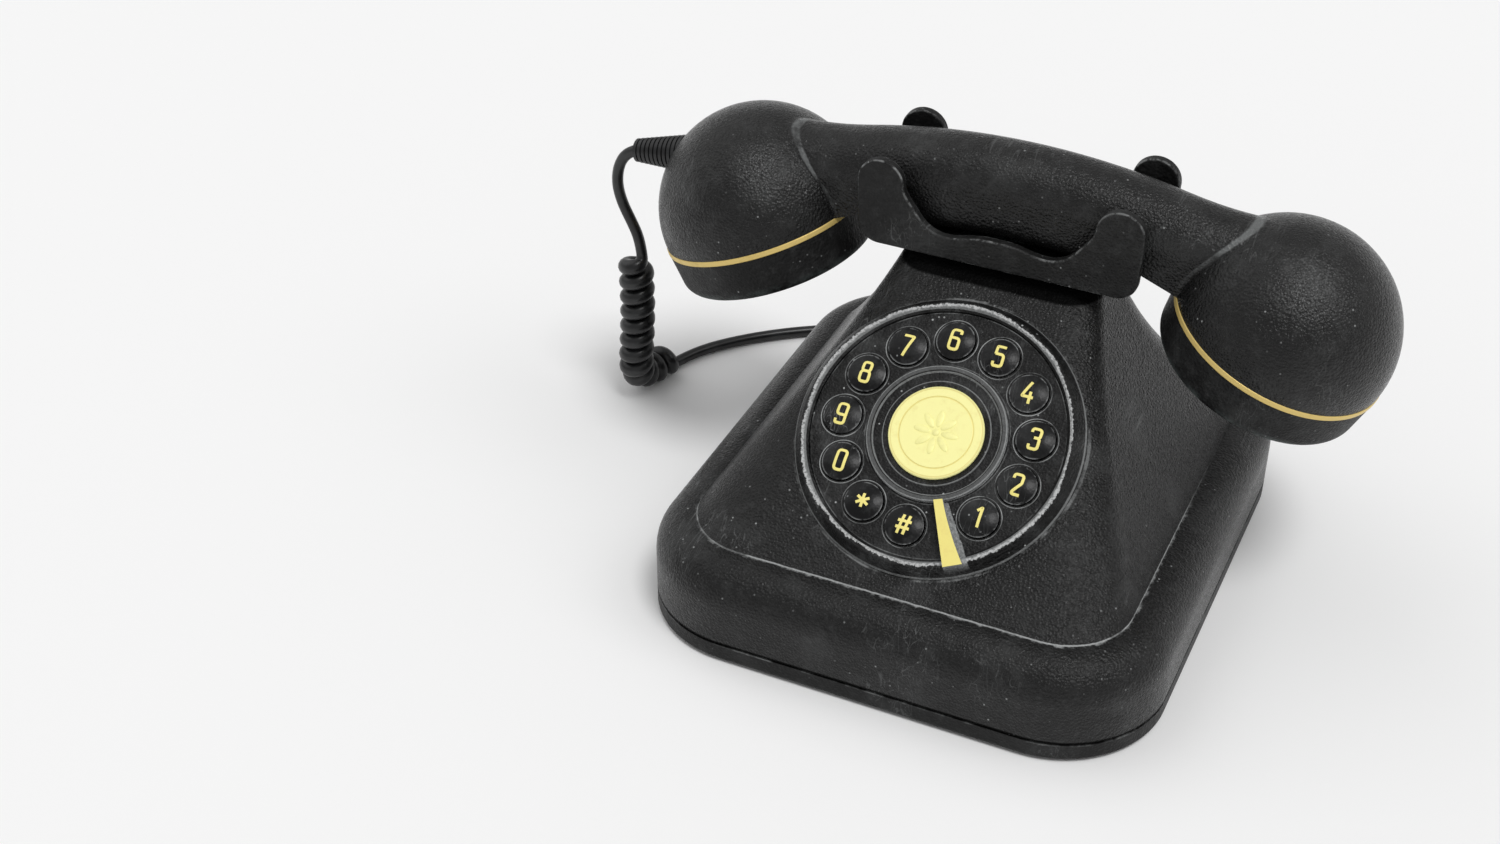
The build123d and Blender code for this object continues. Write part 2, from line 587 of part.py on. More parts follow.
with BuildPart() as cradle_screws:
    with BuildSketch(Plane.XY.offset(NECK_Z - WALL - SEAT)):
        with Locations(HOOK_SCREW_SPOTS):
            Circle(2.4)
    extrude(amount=-1.6)
    with BuildSketch(Plane.XY.offset(NECK_Z - WALL - SEAT)):
        with Locations(HOOK_SCREW_SPOTS):
            Circle(SMALL_SCREW_R)
    extrude(amount=WALL + SADDLE_T - 1.5)
keep(cradle_screws.part, "cradle_screws")

HANDLE_BOTTOM = HANDLE_TOP - HANDLE_H
PAD_TOP = HANDLE_BOTTOM - 0.4
PAD_BOTTOM = SADDLE_Z + 0.2
STEM_LOW = NECK_Z - WALL - HOOK_TRAVEL - 4.0
with BuildPart() as hook_plunger:
    with BuildSketch(Plane.XY.offset(PAD_BOTTOM)):
        with Locations((0, CRADLE_Y)):
            RectangleRounded(PAD_W, PAD_D, 2.5)
    extrude(amount=PAD_TOP - PAD_BOTTOM)
    fillet(hook_plunger.edges().group_by(Axis.Z)[-1], 0.8)
    with BuildSketch(Plane.XY.offset(STEM_LOW)):
        with Locations((0, CRADLE_Y)):
            Circle(PLUNGER_R)
    extrude(amount=PAD_BOTTOM - STEM_LOW)
    with BuildSketch(Plane.XY.offset(NECK_Z - WALL - HOOK_TRAVEL - 1.4)):
        with Locations((0, CRADLE_Y)):
            Circle(PLUNGER_R)
            Circle(PLUNGER_R - 0.7, mode=Mode.SUBTRACT)
    extrude(amount=1.1, mode=Mode.SUBTRACT)
keep(hook_plunger.part, "hook_plunger")

with BuildPart() as plunger_clip:
    with BuildSketch(Plane.XY.offset(NECK_Z - WALL - HOOK_TRAVEL - 1.35)):
        with Locations((0, CRADLE_Y)):
            Circle(PLUNGER_R + 1.8)
            Circle(PLUNGER_R - 0.65, mode=Mode.SUBTRACT)
    extrude(amount=1.0)
keep(plunger_clip.part, "plunger_clip")

SPRING_LOW = NECK_Z + 1.02
SPRING_WIRE = 0.25
SPRING_COIL_R = PLUNGER_R + 1.2
with BuildPart() as plunger_spring:
    with BuildLine():
        turns = Helix(pitch=0.7, height=PAD_BOTTOM - SPRING_LOW - 2 * SPRING_WIRE - 0.1, radius=SPRING_COIL_R,
                      center=(0, CRADLE_Y, SPRING_LOW + SPRING_WIRE))
    with BuildSketch(Plane(origin=turns @ 0, z_dir=turns % 0)):
        Circle(SPRING_WIRE)
    sweep()
keep(plunger_spring.part, "plunger_spring")

SWITCH_TOP = STEM_LOW - 1.8
SWITCH_D = 9.6
SWITCH_H = 10.2
SWITCH_Y = CRADLE_Y + 0.6
with BuildPart() as hook_switch:
    with BuildSketch(Plane.XY.offset(SWITCH_TOP)):
        with Locations((0, SWITCH_Y)):
            Rectangle(20, SWITCH_D)
    extrude(amount=-SWITCH_H)
    with BuildSketch(Plane.XY.offset(SWITCH_TOP)):
        with Locations((0, CRADLE_Y)):
            Rectangle(3.2, 2.6)
    extrude(amount=1.5)
keep(hook_switch.part, "hook_switch")

LEG_Y = SWITCH_Y + SWITCH_D / 2 + SEAT
LEG_T = 1.5
with BuildPart() as switch_bracket:
    with BuildSketch(Plane.XY.offset(SWITCH_TOP - SWITCH_H)):
        with Locations((0, LEG_Y + LEG_T / 2)):
            Rectangle(20, LEG_T)
    extrude(amount=NECK_Z - WALL - SEAT - SWITCH_TOP + SWITCH_H)
    with BuildSketch(Plane.XY.offset(NECK_Z - WALL - SEAT)):
        with Locations((0, LEG_Y + 2.4)):
            Rectangle(20, 4.8)
        with Locations(BRACKET_SCREW_SPOTS):
            Circle(SMALL_SCREW_R + SEAT, mode=Mode.SUBTRACT)
    extrude(amount=-LEG_T)
keep(switch_bracket.part, "switch_bracket")

with BuildPart() as bracket_screws:
    with BuildSketch(Plane.XY.offset(NECK_Z - WALL - LEG_T - 2 * SEAT)):
        with Locations(BRACKET_SCREW_SPOTS):
            Circle(1.6)
    extrude(amount=-1.4)
    with BuildSketch(Plane.XY.offset(NECK_Z - WALL - LEG_T - 2 * SEAT)):
        with Locations(BRACKET_SCREW_SPOTS):
            Circle(SMALL_SCREW_R)
    extrude(amount=LEG_T + WALL - 0.5)
keep(bracket_screws.part, "bracket_screws")

# ---------------------------------------------------------------- handset
BAND_TOP = BAND_H / 2
THREAD_FIT = 0.2
FLARE_X = 74.0              # the flare reaches the dome here
FLARE_Z = 120.8
FLARE_INNER = 45.5          # inner face of the flare beside the cup
THROAT_X = 39.5             # the underside turns down from here
THROAT_R = 6.0
ROUND_SPLIT = 112.0         # edges above this height are upper ones
CUP_CUT = 60.0              # reaches past all of the handle below a cup's band


def arch_z(x, crown, radius):
    """Height of an arch of this radius at x from the middle."""
    return crown - radius + sqrt(radius ** 2 - x ** 2)


def handle_outline():
    """The handle from the front: an arch that flares into the cups, with tangent joins."""
    top_z = arch_z(BOW_X, HANDLE_TOP, HANDLE_R)
    low_r = HANDLE_R - HANDLE_H
    low_z = arch_z(THROAT_X, HANDLE_BOTTOM, low_r)
    throat_z = low_z - (FLARE_INNER - THROAT_X) * THROAT_X / sqrt(low_r ** 2 - THROAT_X ** 2)
    foot_z = CUP_Z - 12
    with BuildSketch(Plane.XZ.offset(HANDLE_W / 2 - CRADLE_Y)) as outline:
        with BuildLine():
            ThreePointArc((-BOW_X, top_z), (0, HANDLE_TOP), (BOW_X, top_z))
            ThreePointArc((-THROAT_X, low_z), (0, HANDLE_BOTTOM), (THROAT_X, low_z))
            for side in (-1, 1):
                fall = (side * sqrt(HANDLE_R ** 2 - BOW_X ** 2), -BOW_X)
                flare = TangentArc((side * BOW_X, top_z), (side * FLARE_X, FLARE_Z), tangent=fall)
                rise = abs((flare % 1).Y / (flare % 1).X) * (CUP_X - FLARE_X)
                Polyline(flare @ 1, (side * CUP_X, FLARE_Z + rise), (side * CUP_X, foot_z),
                         (side * FLARE_INNER, foot_z), (side * FLARE_INNER, throat_z), (side * THROAT_X, low_z))
        make_face()
        throats = outline.vertices().filter_by(lambda v: abs(v.Y - throat_z) < 0.01)
        fillet(throats, THROAT_R)
    return outline.sketch


RELIEF_TIP = (-127.2, CRADLE_Y, 98.6)
RELIEF_OUT = (-cos(radians(RELIEF_TILT)), 0, -sin(radians(RELIEF_TILT)))
RELIEF = Plane(origin=RELIEF_TIP, x_dir=(0, 1, 0), z_dir=RELIEF_OUT)

with BuildPart() as handset_shell:
    extrude(handle_outline(), amount=-HANDLE_W)
    flats = handset_shell.faces().filter_by(Axis.Y)
    fillet(flats.edges().filter_by(lambda e: abs((e @ 0.5).X) < CUP_X - 1 and (e @ 0.5).Z > ROUND_SPLIT), ROUND_R)
    flats = handset_shell.faces().filter_by(Axis.Y)
    low_edges = flats.edges().filter_by(lambda e: abs((e @ 0.5).X) < CUP_X - 1 and (e @ 0.5).Z < ROUND_SPLIT)
    fillet(low_edges.filter_by(lambda e: (e @ 0.5).Z > CUP_Z - 11), ROUND_LOW_R)
    for side in (-1, 1):
        CUP = cup_plane(side)
        with BuildSketch(CUP.offset(-CUP_CUT)):
            Circle(CUP_CUT)
        extrude(amount=CUP_CUT + BAND_TOP + SEAT, mode=Mode.SUBTRACT)
    for side in (-1, 1):
        CUP = cup_plane(side)
        dome_low = BAND_TOP + SEAT
        dome_foot = sqrt(DOME_R ** 2 - (DOME_RISE - dome_low) ** 2)
        with BuildSketch(profile_plane(CUP)):
            with BuildLine():
                RadiusArc((dome_foot, dome_low), (0, DOME_RISE + DOME_R), -DOME_R)
                Line((0, DOME_RISE + DOME_R), (0, dome_low))
                Line((0, dome_low), (dome_foot, dome_low))
            make_face()
        revolve(axis=turning_axis(CUP))
    for side in (-1, 1):
        CUP = cup_plane(side)
        room_r = DOME_R - SHELL_WALL
        bore = THREAD_R + THREAD_FIT
        with BuildSketch(profile_plane(CUP)):
            with BuildLine():
                Polyline((0, BAND_TOP), (bore, BAND_TOP), (bore, DOME_RISE + sqrt(room_r ** 2 - bore ** 2)))
                RadiusArc((bore, DOME_RISE + sqrt(room_r ** 2 - bore ** 2)), (0, DOME_RISE + room_r), -room_r)
                Line((0, DOME_RISE + room_r), (0, BAND_TOP))
            make_face()
        revolve(axis=turning_axis(CUP), mode=Mode.SUBTRACT)
    with BuildSketch(Plane.YZ.offset(-CUP_X)):
        with Locations((CRADLE_Y, HANDLE_BOTTOM + 7.5)):
            Circle(WIRE_BORE_R)
    extrude(amount=2 * CUP_X, mode=Mode.SUBTRACT)
    with BuildSketch(RELIEF.offset(-RELIEF_L - 8)):
        Circle(STEM_PLUG_R + SEAT)
    extrude(amount=20, mode=Mode.SUBTRACT)
keep(handset_shell.part, "handset_shell")

# each cup holds a gold band, a screwed cap, a gasket and a capsule
CAP_FLOOR = -CAP_DEPTH + CAP_WALL
CAPSULE_R = THREAD_R - 2.6
GASKET_T = 1.2
CAPSULES = {"mouth": "microphone_capsule", "ear": "receiver_capsule"}
SOUND_PITCH = {"mouth": 5.0, "ear": 7.0}    # rings of sound holes round a middle one
SOUND_REACH = 12.0
for side, kind in ((-1, "mouth"), (1, "ear")):
    CUP = cup_plane(side)
    with BuildPart() as band:
        with BuildSketch(profile_plane(CUP)):
            with Locations(((THREAD_R + 0.1 + dome_foot + BAND_PROUD) / 2, 0)):
                Rectangle(dome_foot + BAND_PROUD - THREAD_R - 0.1, BAND_H)
        revolve(axis=turning_axis(CUP))
        fillet(band.edges().filter_by(GeomType.CIRCLE).sort_by(SortBy.RADIUS)[-2:], 0.35)
    keep(band.part, kind + "_band")

    with BuildPart() as cap:
        with BuildSketch(profile_plane(CUP)) as cap_profile:
            with BuildLine():
                Polyline((THREAD_R - 2.3, BAND_TOP + THREAD_H), (THREAD_R, BAND_TOP + THREAD_H),
                         (THREAD_R, -BAND_TOP - SEAT), (dome_foot, -BAND_TOP - SEAT),
                         (CAP_R + 0.4, -CAP_DEPTH), (0, -CAP_DEPTH), (0, CAP_FLOOR),
                         (THREAD_R - 2.3, CAP_FLOOR), close=True)
            make_face()
            rim = cap_profile.vertices().filter_by(lambda v: v.X > CAP_R and v.Y < CAP_FLOOR)
            fillet(rim, CAP_ROUND)
        revolve(axis=turning_axis(CUP))
        with BuildSketch(CUP.offset(-CAP_DEPTH)):
            Circle(1.2)
            for ring in range(1, 1 + int(SOUND_REACH / SOUND_PITCH[kind])):
                with PolarLocations(ring * SOUND_PITCH[kind], 6 * ring):
                    Circle(1.2)
        extrude(amount=CAP_WALL, mode=Mode.SUBTRACT)
    keep(cap.part, kind + "_cap")

    with BuildPart() as gasket:
        with BuildSketch(CUP.offset(CAP_FLOOR + SEAT)):
            Circle(CAPSULE_R)
            Circle(CAPSULE_R - 5, mode=Mode.SUBTRACT)
        extrude(amount=GASKET_T)
    keep(gasket.part, kind + "_gasket")

    with BuildPart() as capsule:
        with BuildSketch(CUP.offset(CAP_FLOOR + GASKET_T + 2 * SEAT)):
            Circle(CAPSULE_R)
        extrude(amount=7)
        with BuildSketch(CUP.offset(CAP_FLOOR + GASKET_T + 2 * SEAT + 7)):
            Circle(CAPSULE_R - 7)
        extrude(amount=4)
    keep(capsule.part, CAPSULES[kind])

# the left cup's strain relief: a plug through the dome and a ribbed, tapered tail
DOME = cup_plane(-1).offset(DOME_RISE)
with BuildPart() as handset_strain_relief:
    pitch = RELIEF_L / RELIEF_RIBS
    ribs = [(0, 0)]
    for k in range(RELIEF_RIBS):
        crest = RELIEF_TIP_R + (RELIEF_R - RELIEF_TIP_R) * (k + 0.5) / RELIEF_RIBS
        ribs += [(crest, -pitch * k), (crest, -pitch * (k + 0.62)),
                 (crest - 0.5, -pitch * (k + 0.66)), (crest - 0.5, -pitch * (k + 0.96))]
    with BuildSketch(profile_plane(RELIEF)):
        with BuildLine():
            Polyline(*ribs, (RELIEF_R, -RELIEF_L), (0, -RELIEF_L), close=True)
        make_face()
    revolve(axis=turning_axis(RELIEF))
    with Locations(DOME.origin):
        Sphere(DOME_R + SEAT, mode=Mode.SUBTRACT)
    with BuildSketch(RELIEF.offset(-RELIEF_L / 2)):
        Circle(STEM_PLUG_R)
    extrude(amount=-RELIEF_L / 2 - 2)
keep(handset_strain_relief.part, "handset_strain_relief")

# ---------------------------------------------------------------- handset cord
GLAND = Plane(origin=(GLAND_X, BASE_D / 2, GLAND_Z), x_dir=(1, 0, 0), z_dir=(0, 1, 0))
SNOUT_L = 9.0
with BuildPart() as cord_gland:
    snout = [(0, SNOUT_L)]
    for k in range(4):
        crest = 3.0 + 0.3 * k
        snout += [(crest, SNOUT_L - 1.8 * k), (crest, SNOUT_L - 1.8 * k - 1.1),
                  (crest - 0.5, SNOUT_L - 1.8 * k - 1.2), (crest - 0.5, SNOUT_L - 1.8 * k - 1.7)]
    with BuildSketch(profile_plane(GLAND)):
        with BuildLine():
            Polyline(*snout, (5.2, 1.6), (5.2, SEAT), (GLAND_R, SEAT), (GLAND_R, -WALL - SEAT),
                     (GLAND_R + 1, -WALL - SEAT), (GLAND_R + 1, -WALL - 2), (0, -WALL - 2), close=True)
        make_face()
    revolve(axis=turning_axis(GLAND))
keep(cord_gland.part, "cord_gland")

COIL_TOP = 57.3
CORD_LOW = CORD_R + 0.2
COIL_LOW = COIL_R + 0.1
UPPER_ROUTE = [(-127.7, 22.2, 98.5), (-131.4, 22.2, 96.9), (-134.6, 22.2, 91.5), (-135.5, 22.2, 84.5),
               (-133.8, 22.2, 77.8), (-130.6, 22.2, 71.6), (-127.7, 22.2, 65.4), (-126.9, 22.2, 57.8)]
COIL_ROUTE = [(-129.6, 22.2, COIL_TOP), (-129.2, 22.2, 42.0), (-129.9, 22.2, 28.0), (-130.8, 22.2, 16.5),
              (-132.4, 26.2, 9.0), (-132.0, 34.2, COIL_LOW), (-129.2, 42.4, COIL_LOW)]
LOWER_ROUTE = [(-129.2, 42.4, CORD_LOW), (-126.4, 50.6, CORD_LOW), (-121.4, 59.4, CORD_LOW),
               (-114.3, 67.6, CORD_LOW), (-106.2, 75.2, CORD_LOW), (-97.2, 82.2, CORD_LOW),
               (-88.0, 88.0, CORD_LOW), (-79.6, 93.8, CORD_LOW), (-71.6, 99.8, CORD_LOW),
               (-64.6, 104.6, CORD_LOW), (-57.6, 108.4, CORD_LOW), (-50.8, 110.6, 2.9),
               (-44.4, 110.3, 5.2), (-39.4, 107.7, 8.4), (-36.4, 103.2, 11.0), (-36.0, 97.3, 11.6)]


def bends(route):
    """A radius for each inner point: as large as the two runs beside it allow."""
    points = [Vector(*p) for p in route]
    radii = []
    for before, here, after in zip(points, points[1:], points[2:]):
        turn = (here - before).get_angle(after - here)
        radii.append(0.45 * min((here - before).length, (after - here).length) / tan(radians(turn / 2)))
    return radii


def report_tube(name, path, tube, radius, radii):
    length = sum(edge.length for edge in path.edges())
    print(name, "length", round(length, 1), "volume / (section x length)",
          round(tube.volume / (pi * radius ** 2 * length), 4), "radii", [round(r, 1) for r in radii])


for name, route, radius in (("handset_cord_upper", UPPER_ROUTE, CORD_R), ("handset_cord_coil", COIL_ROUTE, COIL_R),
                            ("handset_cord_lower", LOWER_ROUTE, CORD_R)):
    with BuildPart() as tube:
        with BuildLine() as path:
            FilletPolyline(*route, radius=bends(route))
        with BuildSketch(Plane(origin=path.line @ 0, z_dir=path.line % 0)):
            Circle(radius)
        sweep()
    report_tube(name, path.line, tube.part, radius, bends(route))
    keep(tube.part, name)
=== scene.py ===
"""Dresses the frame of a push-button desk telephone: its finishes, its gold figures, its
rosette and its curly cord, with a plain stage around it.  Lengths are metres."""

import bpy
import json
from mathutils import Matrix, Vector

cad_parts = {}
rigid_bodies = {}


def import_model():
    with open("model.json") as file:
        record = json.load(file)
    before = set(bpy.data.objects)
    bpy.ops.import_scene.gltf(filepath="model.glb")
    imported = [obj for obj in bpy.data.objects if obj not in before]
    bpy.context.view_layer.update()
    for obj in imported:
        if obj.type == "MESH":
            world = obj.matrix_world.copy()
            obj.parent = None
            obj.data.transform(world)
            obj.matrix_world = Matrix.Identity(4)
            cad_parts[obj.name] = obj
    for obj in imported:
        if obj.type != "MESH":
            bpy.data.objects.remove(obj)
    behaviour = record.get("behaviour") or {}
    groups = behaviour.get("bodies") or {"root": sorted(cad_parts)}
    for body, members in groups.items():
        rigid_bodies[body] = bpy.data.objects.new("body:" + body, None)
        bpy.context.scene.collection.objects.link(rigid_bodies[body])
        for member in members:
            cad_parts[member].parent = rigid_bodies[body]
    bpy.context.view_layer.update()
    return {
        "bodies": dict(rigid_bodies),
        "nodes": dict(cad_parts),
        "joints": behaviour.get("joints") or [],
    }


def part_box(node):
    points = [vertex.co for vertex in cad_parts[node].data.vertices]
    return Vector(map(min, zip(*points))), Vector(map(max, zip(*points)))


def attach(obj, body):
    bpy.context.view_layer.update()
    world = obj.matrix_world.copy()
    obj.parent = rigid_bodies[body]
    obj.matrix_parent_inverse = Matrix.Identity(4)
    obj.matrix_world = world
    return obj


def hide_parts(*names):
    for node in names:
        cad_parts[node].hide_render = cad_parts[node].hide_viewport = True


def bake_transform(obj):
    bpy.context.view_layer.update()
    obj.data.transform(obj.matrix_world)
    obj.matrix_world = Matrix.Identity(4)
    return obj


bl_info = {
    "name": "Push-Button Desk Telephone",
    "version": (1, 0, 0),
    "blender": (4, 5, 0),
    "location": "View3D > Sidebar > Telephone",
    "description": "Finishes, figures, rosette and curly cord of a desk telephone",
    "category": "Object",
}

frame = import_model()

import json
from math import ceil, cos, pi, radians, sin, sqrt, tan, tau

import bmesh
import bpy
from mathutils import Matrix, Vector

# ---------------------------------------------------------------- the frame
NODES = frame["nodes"]
KEYS = sorted(name for name in frame["bodies"] if name.startswith("button_"))
PRESS = next(joint for joint in frame["joints"] if joint["name"] == "press_1")
RIGHT = Vector((1, 0, 0))
REAR = Vector((0, 1, 0))
UP = Vector((0, 0, 1))
FACE_OUT = -Vector(PRESS["axis"]).normalized()
FACE_UP = FACE_OUT.cross(RIGHT)
MM = 0.001


def reach(node, direction):
    """How far a node reaches along a direction, from the origin."""
    return max(vertex.co.dot(direction) for vertex in NODES[node].data.vertices)


def middle_along(node, direction):
    """Where the middle of a node lies along a direction, from the origin."""
    return (reach(node, direction) - reach(node, -direction)) / 2


def top_spot(node):
    """Where the axis of a round piece on the dial comes out of its top."""
    return (RIGHT * middle_along(node, RIGHT) + FACE_UP * middle_along(node, FACE_UP)
            + FACE_OUT * reach(node, FACE_OUT))


def box_middle(node):
    """The middle of the box around a node."""
    low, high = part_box(node)
    return (Vector(low) + Vector(high)) / 2


DIAL_HEIGHT = reach("dial_bezel", FACE_OUT)
DIAL_CENTRE = top_spot("centre_disc")
DIAL_CENTRE += FACE_OUT * (DIAL_HEIGHT - DIAL_CENTRE.dot(FACE_OUT))
FACE_ANGLE = FACE_UP.angle(REAR)

CREASE_HEIGHT = 32.3 * MM       # the shell's crease above its skirt
SEAM_HEIGHT = 7.1 * MM          # lower edge of the shell
NECK_SHADE_HEIGHT = 91.2 * MM         # above this the neck is painted near-black: painted shade under the cradle
TRAY_EDGE = 6.4 * MM            # height of the tray's rubbed edge
DIAL_SEAT_RADIUS = 43.1 * MM    # where the bezel rubs the shell
KEY_CROWN_RADIUS = 13.37 * MM   # sphere of a key cap's crown
DOME_RADIUS = 33.25 * MM
DOME_LIFT = 2.76 * MM           # dome's centre above the gold band
CUP_TILT = radians(21.2)
DISC_GROOVES = (10.9 * MM, 13.5 * MM)
MOUTH, EAR = -1, 1              # the handset's two sides, to the left and to the right
BANDS = {MOUTH: "mouth_band", EAR: "ear_band"}
# The way from a dome's centre to the middle of its patch of light specks, placed where the dome's highlight
# falls: partly dust, partly painted highlight.
DUST_AND_SHEEN_SPOTS = {MOUTH: (0.232, -0.592, 0.772), EAR: (0.233, -0.615, 0.753)}
# Rings of wear on the dial: radius, width, how whole the line is, strength.
WORN_RINGS = ((42.7 * MM, 0.32 * MM, 0.7, 0.45), (37.5 * MM, 0.22 * MM, 0.45, 0.35),
              (20.5 * MM, 0.30 * MM, 0.72, 0.7), (18.8 * MM, 0.28 * MM, 0.7, 0.6),
              (15.9 * MM, 0.24 * MM, 0.7, 0.5), (21.3 * MM, 0.22 * MM, 0.45, 0.3))

# ---------------------------------------------------------------- the stage
LIT_ROOM = 0.455                # strength of the even light from all round
# Soft distant lamps: name, the way towards it, its width in degrees, strength.
LAMPS = (("High light", (0.34, -0.24, 0.91), 19, 1.23), ("Right light", (0.70, 0.04, 0.71), 34, 0.33),
         ("Left light", (-0.66, 0.05, 0.75), 60, 0.45))
CAMERA_PLACE = Vector((0.1660, -0.5207, 0.4304))
CAMERA_AIM = Vector((-0.0722, -0.0110, 0.0297))
CAMERA_LENS = 52.03             # millimetres, as is the next line
CAMERA_SENSOR = 36
FLOOR_HALF = 6.0                # half of the floor's width

# ---------------------------------------------------------------- the cord's route
UPPER_ROUTE = [(-0.1277, 0.0222, 0.0985), (-0.1314, 0.0222, 0.0969), (-0.1346, 0.0222, 0.0915),
               (-0.1355, 0.0222, 0.0845), (-0.1338, 0.0222, 0.0778), (-0.1306, 0.0222, 0.0716),
               (-0.1277, 0.0222, 0.0654), (-0.1269, 0.0222, 0.0578)]
COIL_ROUTE = [(-0.1296, 0.0222, 0.0573), (-0.1292, 0.0222, 0.0420), (-0.1299, 0.0222, 0.0280),
              (-0.1308, 0.0222, 0.0165), (-0.1324, 0.0262, 0.0090), (-0.1320, 0.0342, 0.0056),
              (-0.1292, 0.0424, 0.0056)]
LOWER_ROUTE = [(-0.1292, 0.0424, 0.0021), (-0.1264, 0.0506, 0.0021), (-0.1214, 0.0594, 0.0021),
               (-0.1143, 0.0676, 0.0021), (-0.1062, 0.0752, 0.0021), (-0.0972, 0.0822, 0.0021),
               (-0.0880, 0.0880, 0.0021), (-0.0796, 0.0938, 0.0021), (-0.0716, 0.0998, 0.0021),
               (-0.0646, 0.1046, 0.0021), (-0.0576, 0.1084, 0.0021), (-0.0508, 0.1106, 0.0029),
               (-0.0444, 0.1103, 0.0052), (-0.0394, 0.1077, 0.0084), (-0.0364, 0.1032, 0.0110),
               (-0.0360, 0.0973, 0.0116)]

# ---------------------------------------------------------------- the figures
# Strokes along the middle of each line, in millimetres: points, corner radius, closed or open.
HALF_W = 1.35
HALF_H = 3.0
CORNER = 1.05
FIGURES = {
    "0": [([(-HALF_W, -HALF_H), (HALF_W, -HALF_H), (HALF_W, HALF_H), (-HALF_W, HALF_H)], CORNER, True)],
    "1": [([(-0.75, 1.75), (0.5, HALF_H), (0.5, -HALF_H)], 0.15, False)],
    "2": [([(-HALF_W, 1.7), (-HALF_W, HALF_H), (HALF_W, HALF_H), (HALF_W, 0.5), (-HALF_W, -HALF_H),
            (HALF_W + 0.2, -HALF_H)], 0.95, False)],
    "3": [([(-HALF_W, 1.8), (-HALF_W, HALF_H), (HALF_W, HALF_H), (HALF_W, 0.25), (-0.35, 0.25)],
           CORNER, False),
          ([(-0.35, 0.25), (HALF_W, 0.25), (HALF_W, -HALF_H), (-HALF_W, -HALF_H), (-HALF_W, -1.8)],
           CORNER, False)],
    "4": [([(0.3, HALF_H + 0.3), (-1.6, -1.35), (1.75, -1.35)], 0.15, False),
          ([(0.75, 0.3), (0.75, -HALF_H - 0.3)], 0, False)],
    "5": [([(1.35, HALF_H), (-1.2, HALF_H), (-1.2, 0.5)], 0.15, False),
          ([(-1.2, 0.6), (HALF_W, 0.6), (HALF_W, -HALF_H), (-HALF_W, -HALF_H), (-HALF_W, -1.8)],
           CORNER, False)],
    "6": [([(HALF_W, 1.8), (HALF_W, HALF_H), (-HALF_W, HALF_H), (-HALF_W, -HALF_H), (HALF_W, -HALF_H),
            (HALF_W, 0.4), (-1.2, 0.4)], CORNER, False)],
    "7": [([(-HALF_W - 0.2, HALF_H), (HALF_W + 0.1, HALF_H), (-0.45, -HALF_H - 0.4)], 0.2, False)],
    "8": [([(-1.2, 0.25), (1.2, 0.25), (1.2, HALF_H), (-1.2, HALF_H)], 0.9, True),
          ([(-HALF_W, -HALF_H), (HALF_W, -HALF_H), (HALF_W, 0.25), (-HALF_W, 0.25)], CORNER, True)],
    "9": [([(-HALF_W, -1.8), (-HALF_W, -HALF_H), (HALF_W, -HALF_H), (HALF_W, HALF_H), (-HALF_W, HALF_H),
            (-HALF_W, -0.4), (1.2, -0.4)], CORNER, False)],
    "star": [([(-2.1 * cos(turn), -2.1 * sin(turn)), (2.1 * cos(turn), 2.1 * sin(turn))], 0, False)
             for turn in (pi / 2, pi / 6, -pi / 6)],
    "hash": [([(-1.2, -2.9), (-0.5, 2.9)], 0, False), ([(0.6, -2.9), (1.3, 2.9)], 0, False),
             ([(-2.1, -1.0), (2.0, -1.0)], 0, False), ([(-1.9, 1.0), (2.2, 1.0)], 0, False)],
}


def srgb(red, green, blue):
    """A colour as a screen shows it, from 0 to 255, in Blender's linear values."""
    return tuple((part / 255 / 12.92) if part <= 10 else ((part / 255 + 0.055) / 1.055) ** 2.4
                 for part in (red, green, blue))


# ---------------------------------------------------------------- sizes and colours to change
class TelephoneSizes(bpy.types.PropertyGroup):
    """Sizes of the pieces that are made here"""
    stroke: bpy.props.FloatProperty(
        name="Figure stroke", description="Width of the lines of the figures on the keys",
        default=0.88 * MM, min=0.3 * MM, max=1.5 * MM, precision=5, unit="LENGTH")
    figure_rise: bpy.props.FloatProperty(
        name="Figure rise", description="How far the figures stand out of the key caps",
        default=0.09 * MM, min=0.02 * MM, max=0.4 * MM, precision=5, unit="LENGTH")
    ring_radius: bpy.props.FloatProperty(
        name="Key ring radius", description="Radius of the fine raised ring around each key",
        default=6.55 * MM, min=6.1 * MM, max=7.2 * MM, precision=5, unit="LENGTH")
    petals: bpy.props.IntProperty(
        name="Petals", description="Petals of the rosette on the gold disc", default=8, min=5, max=16)
    cord_thin: bpy.props.FloatProperty(
        name="Cord", description="Thickness of the cord where it runs straight",
        default=3.7 * MM, min=2 * MM, max=6 * MM, precision=5, unit="LENGTH")
    cord_thick: bpy.props.FloatProperty(
        name="Coiled cord", description="Thickness of the cord in its curls",
        default=5.4 * MM, min=2 * MM, max=7 * MM, precision=5, unit="LENGTH")
    coil_radius: bpy.props.FloatProperty(
        name="Coil radius", description="Outer radius of the curled part of the cord",
        default=6.2 * MM, min=4 * MM, max=8 * MM, precision=5, unit="LENGTH")
    pitch: bpy.props.FloatProperty(
        name="Curl pitch", description="Distance from one curl of the cord to the next",
        default=6.1 * MM, min=3 * MM, max=12 * MM, precision=5, unit="LENGTH")


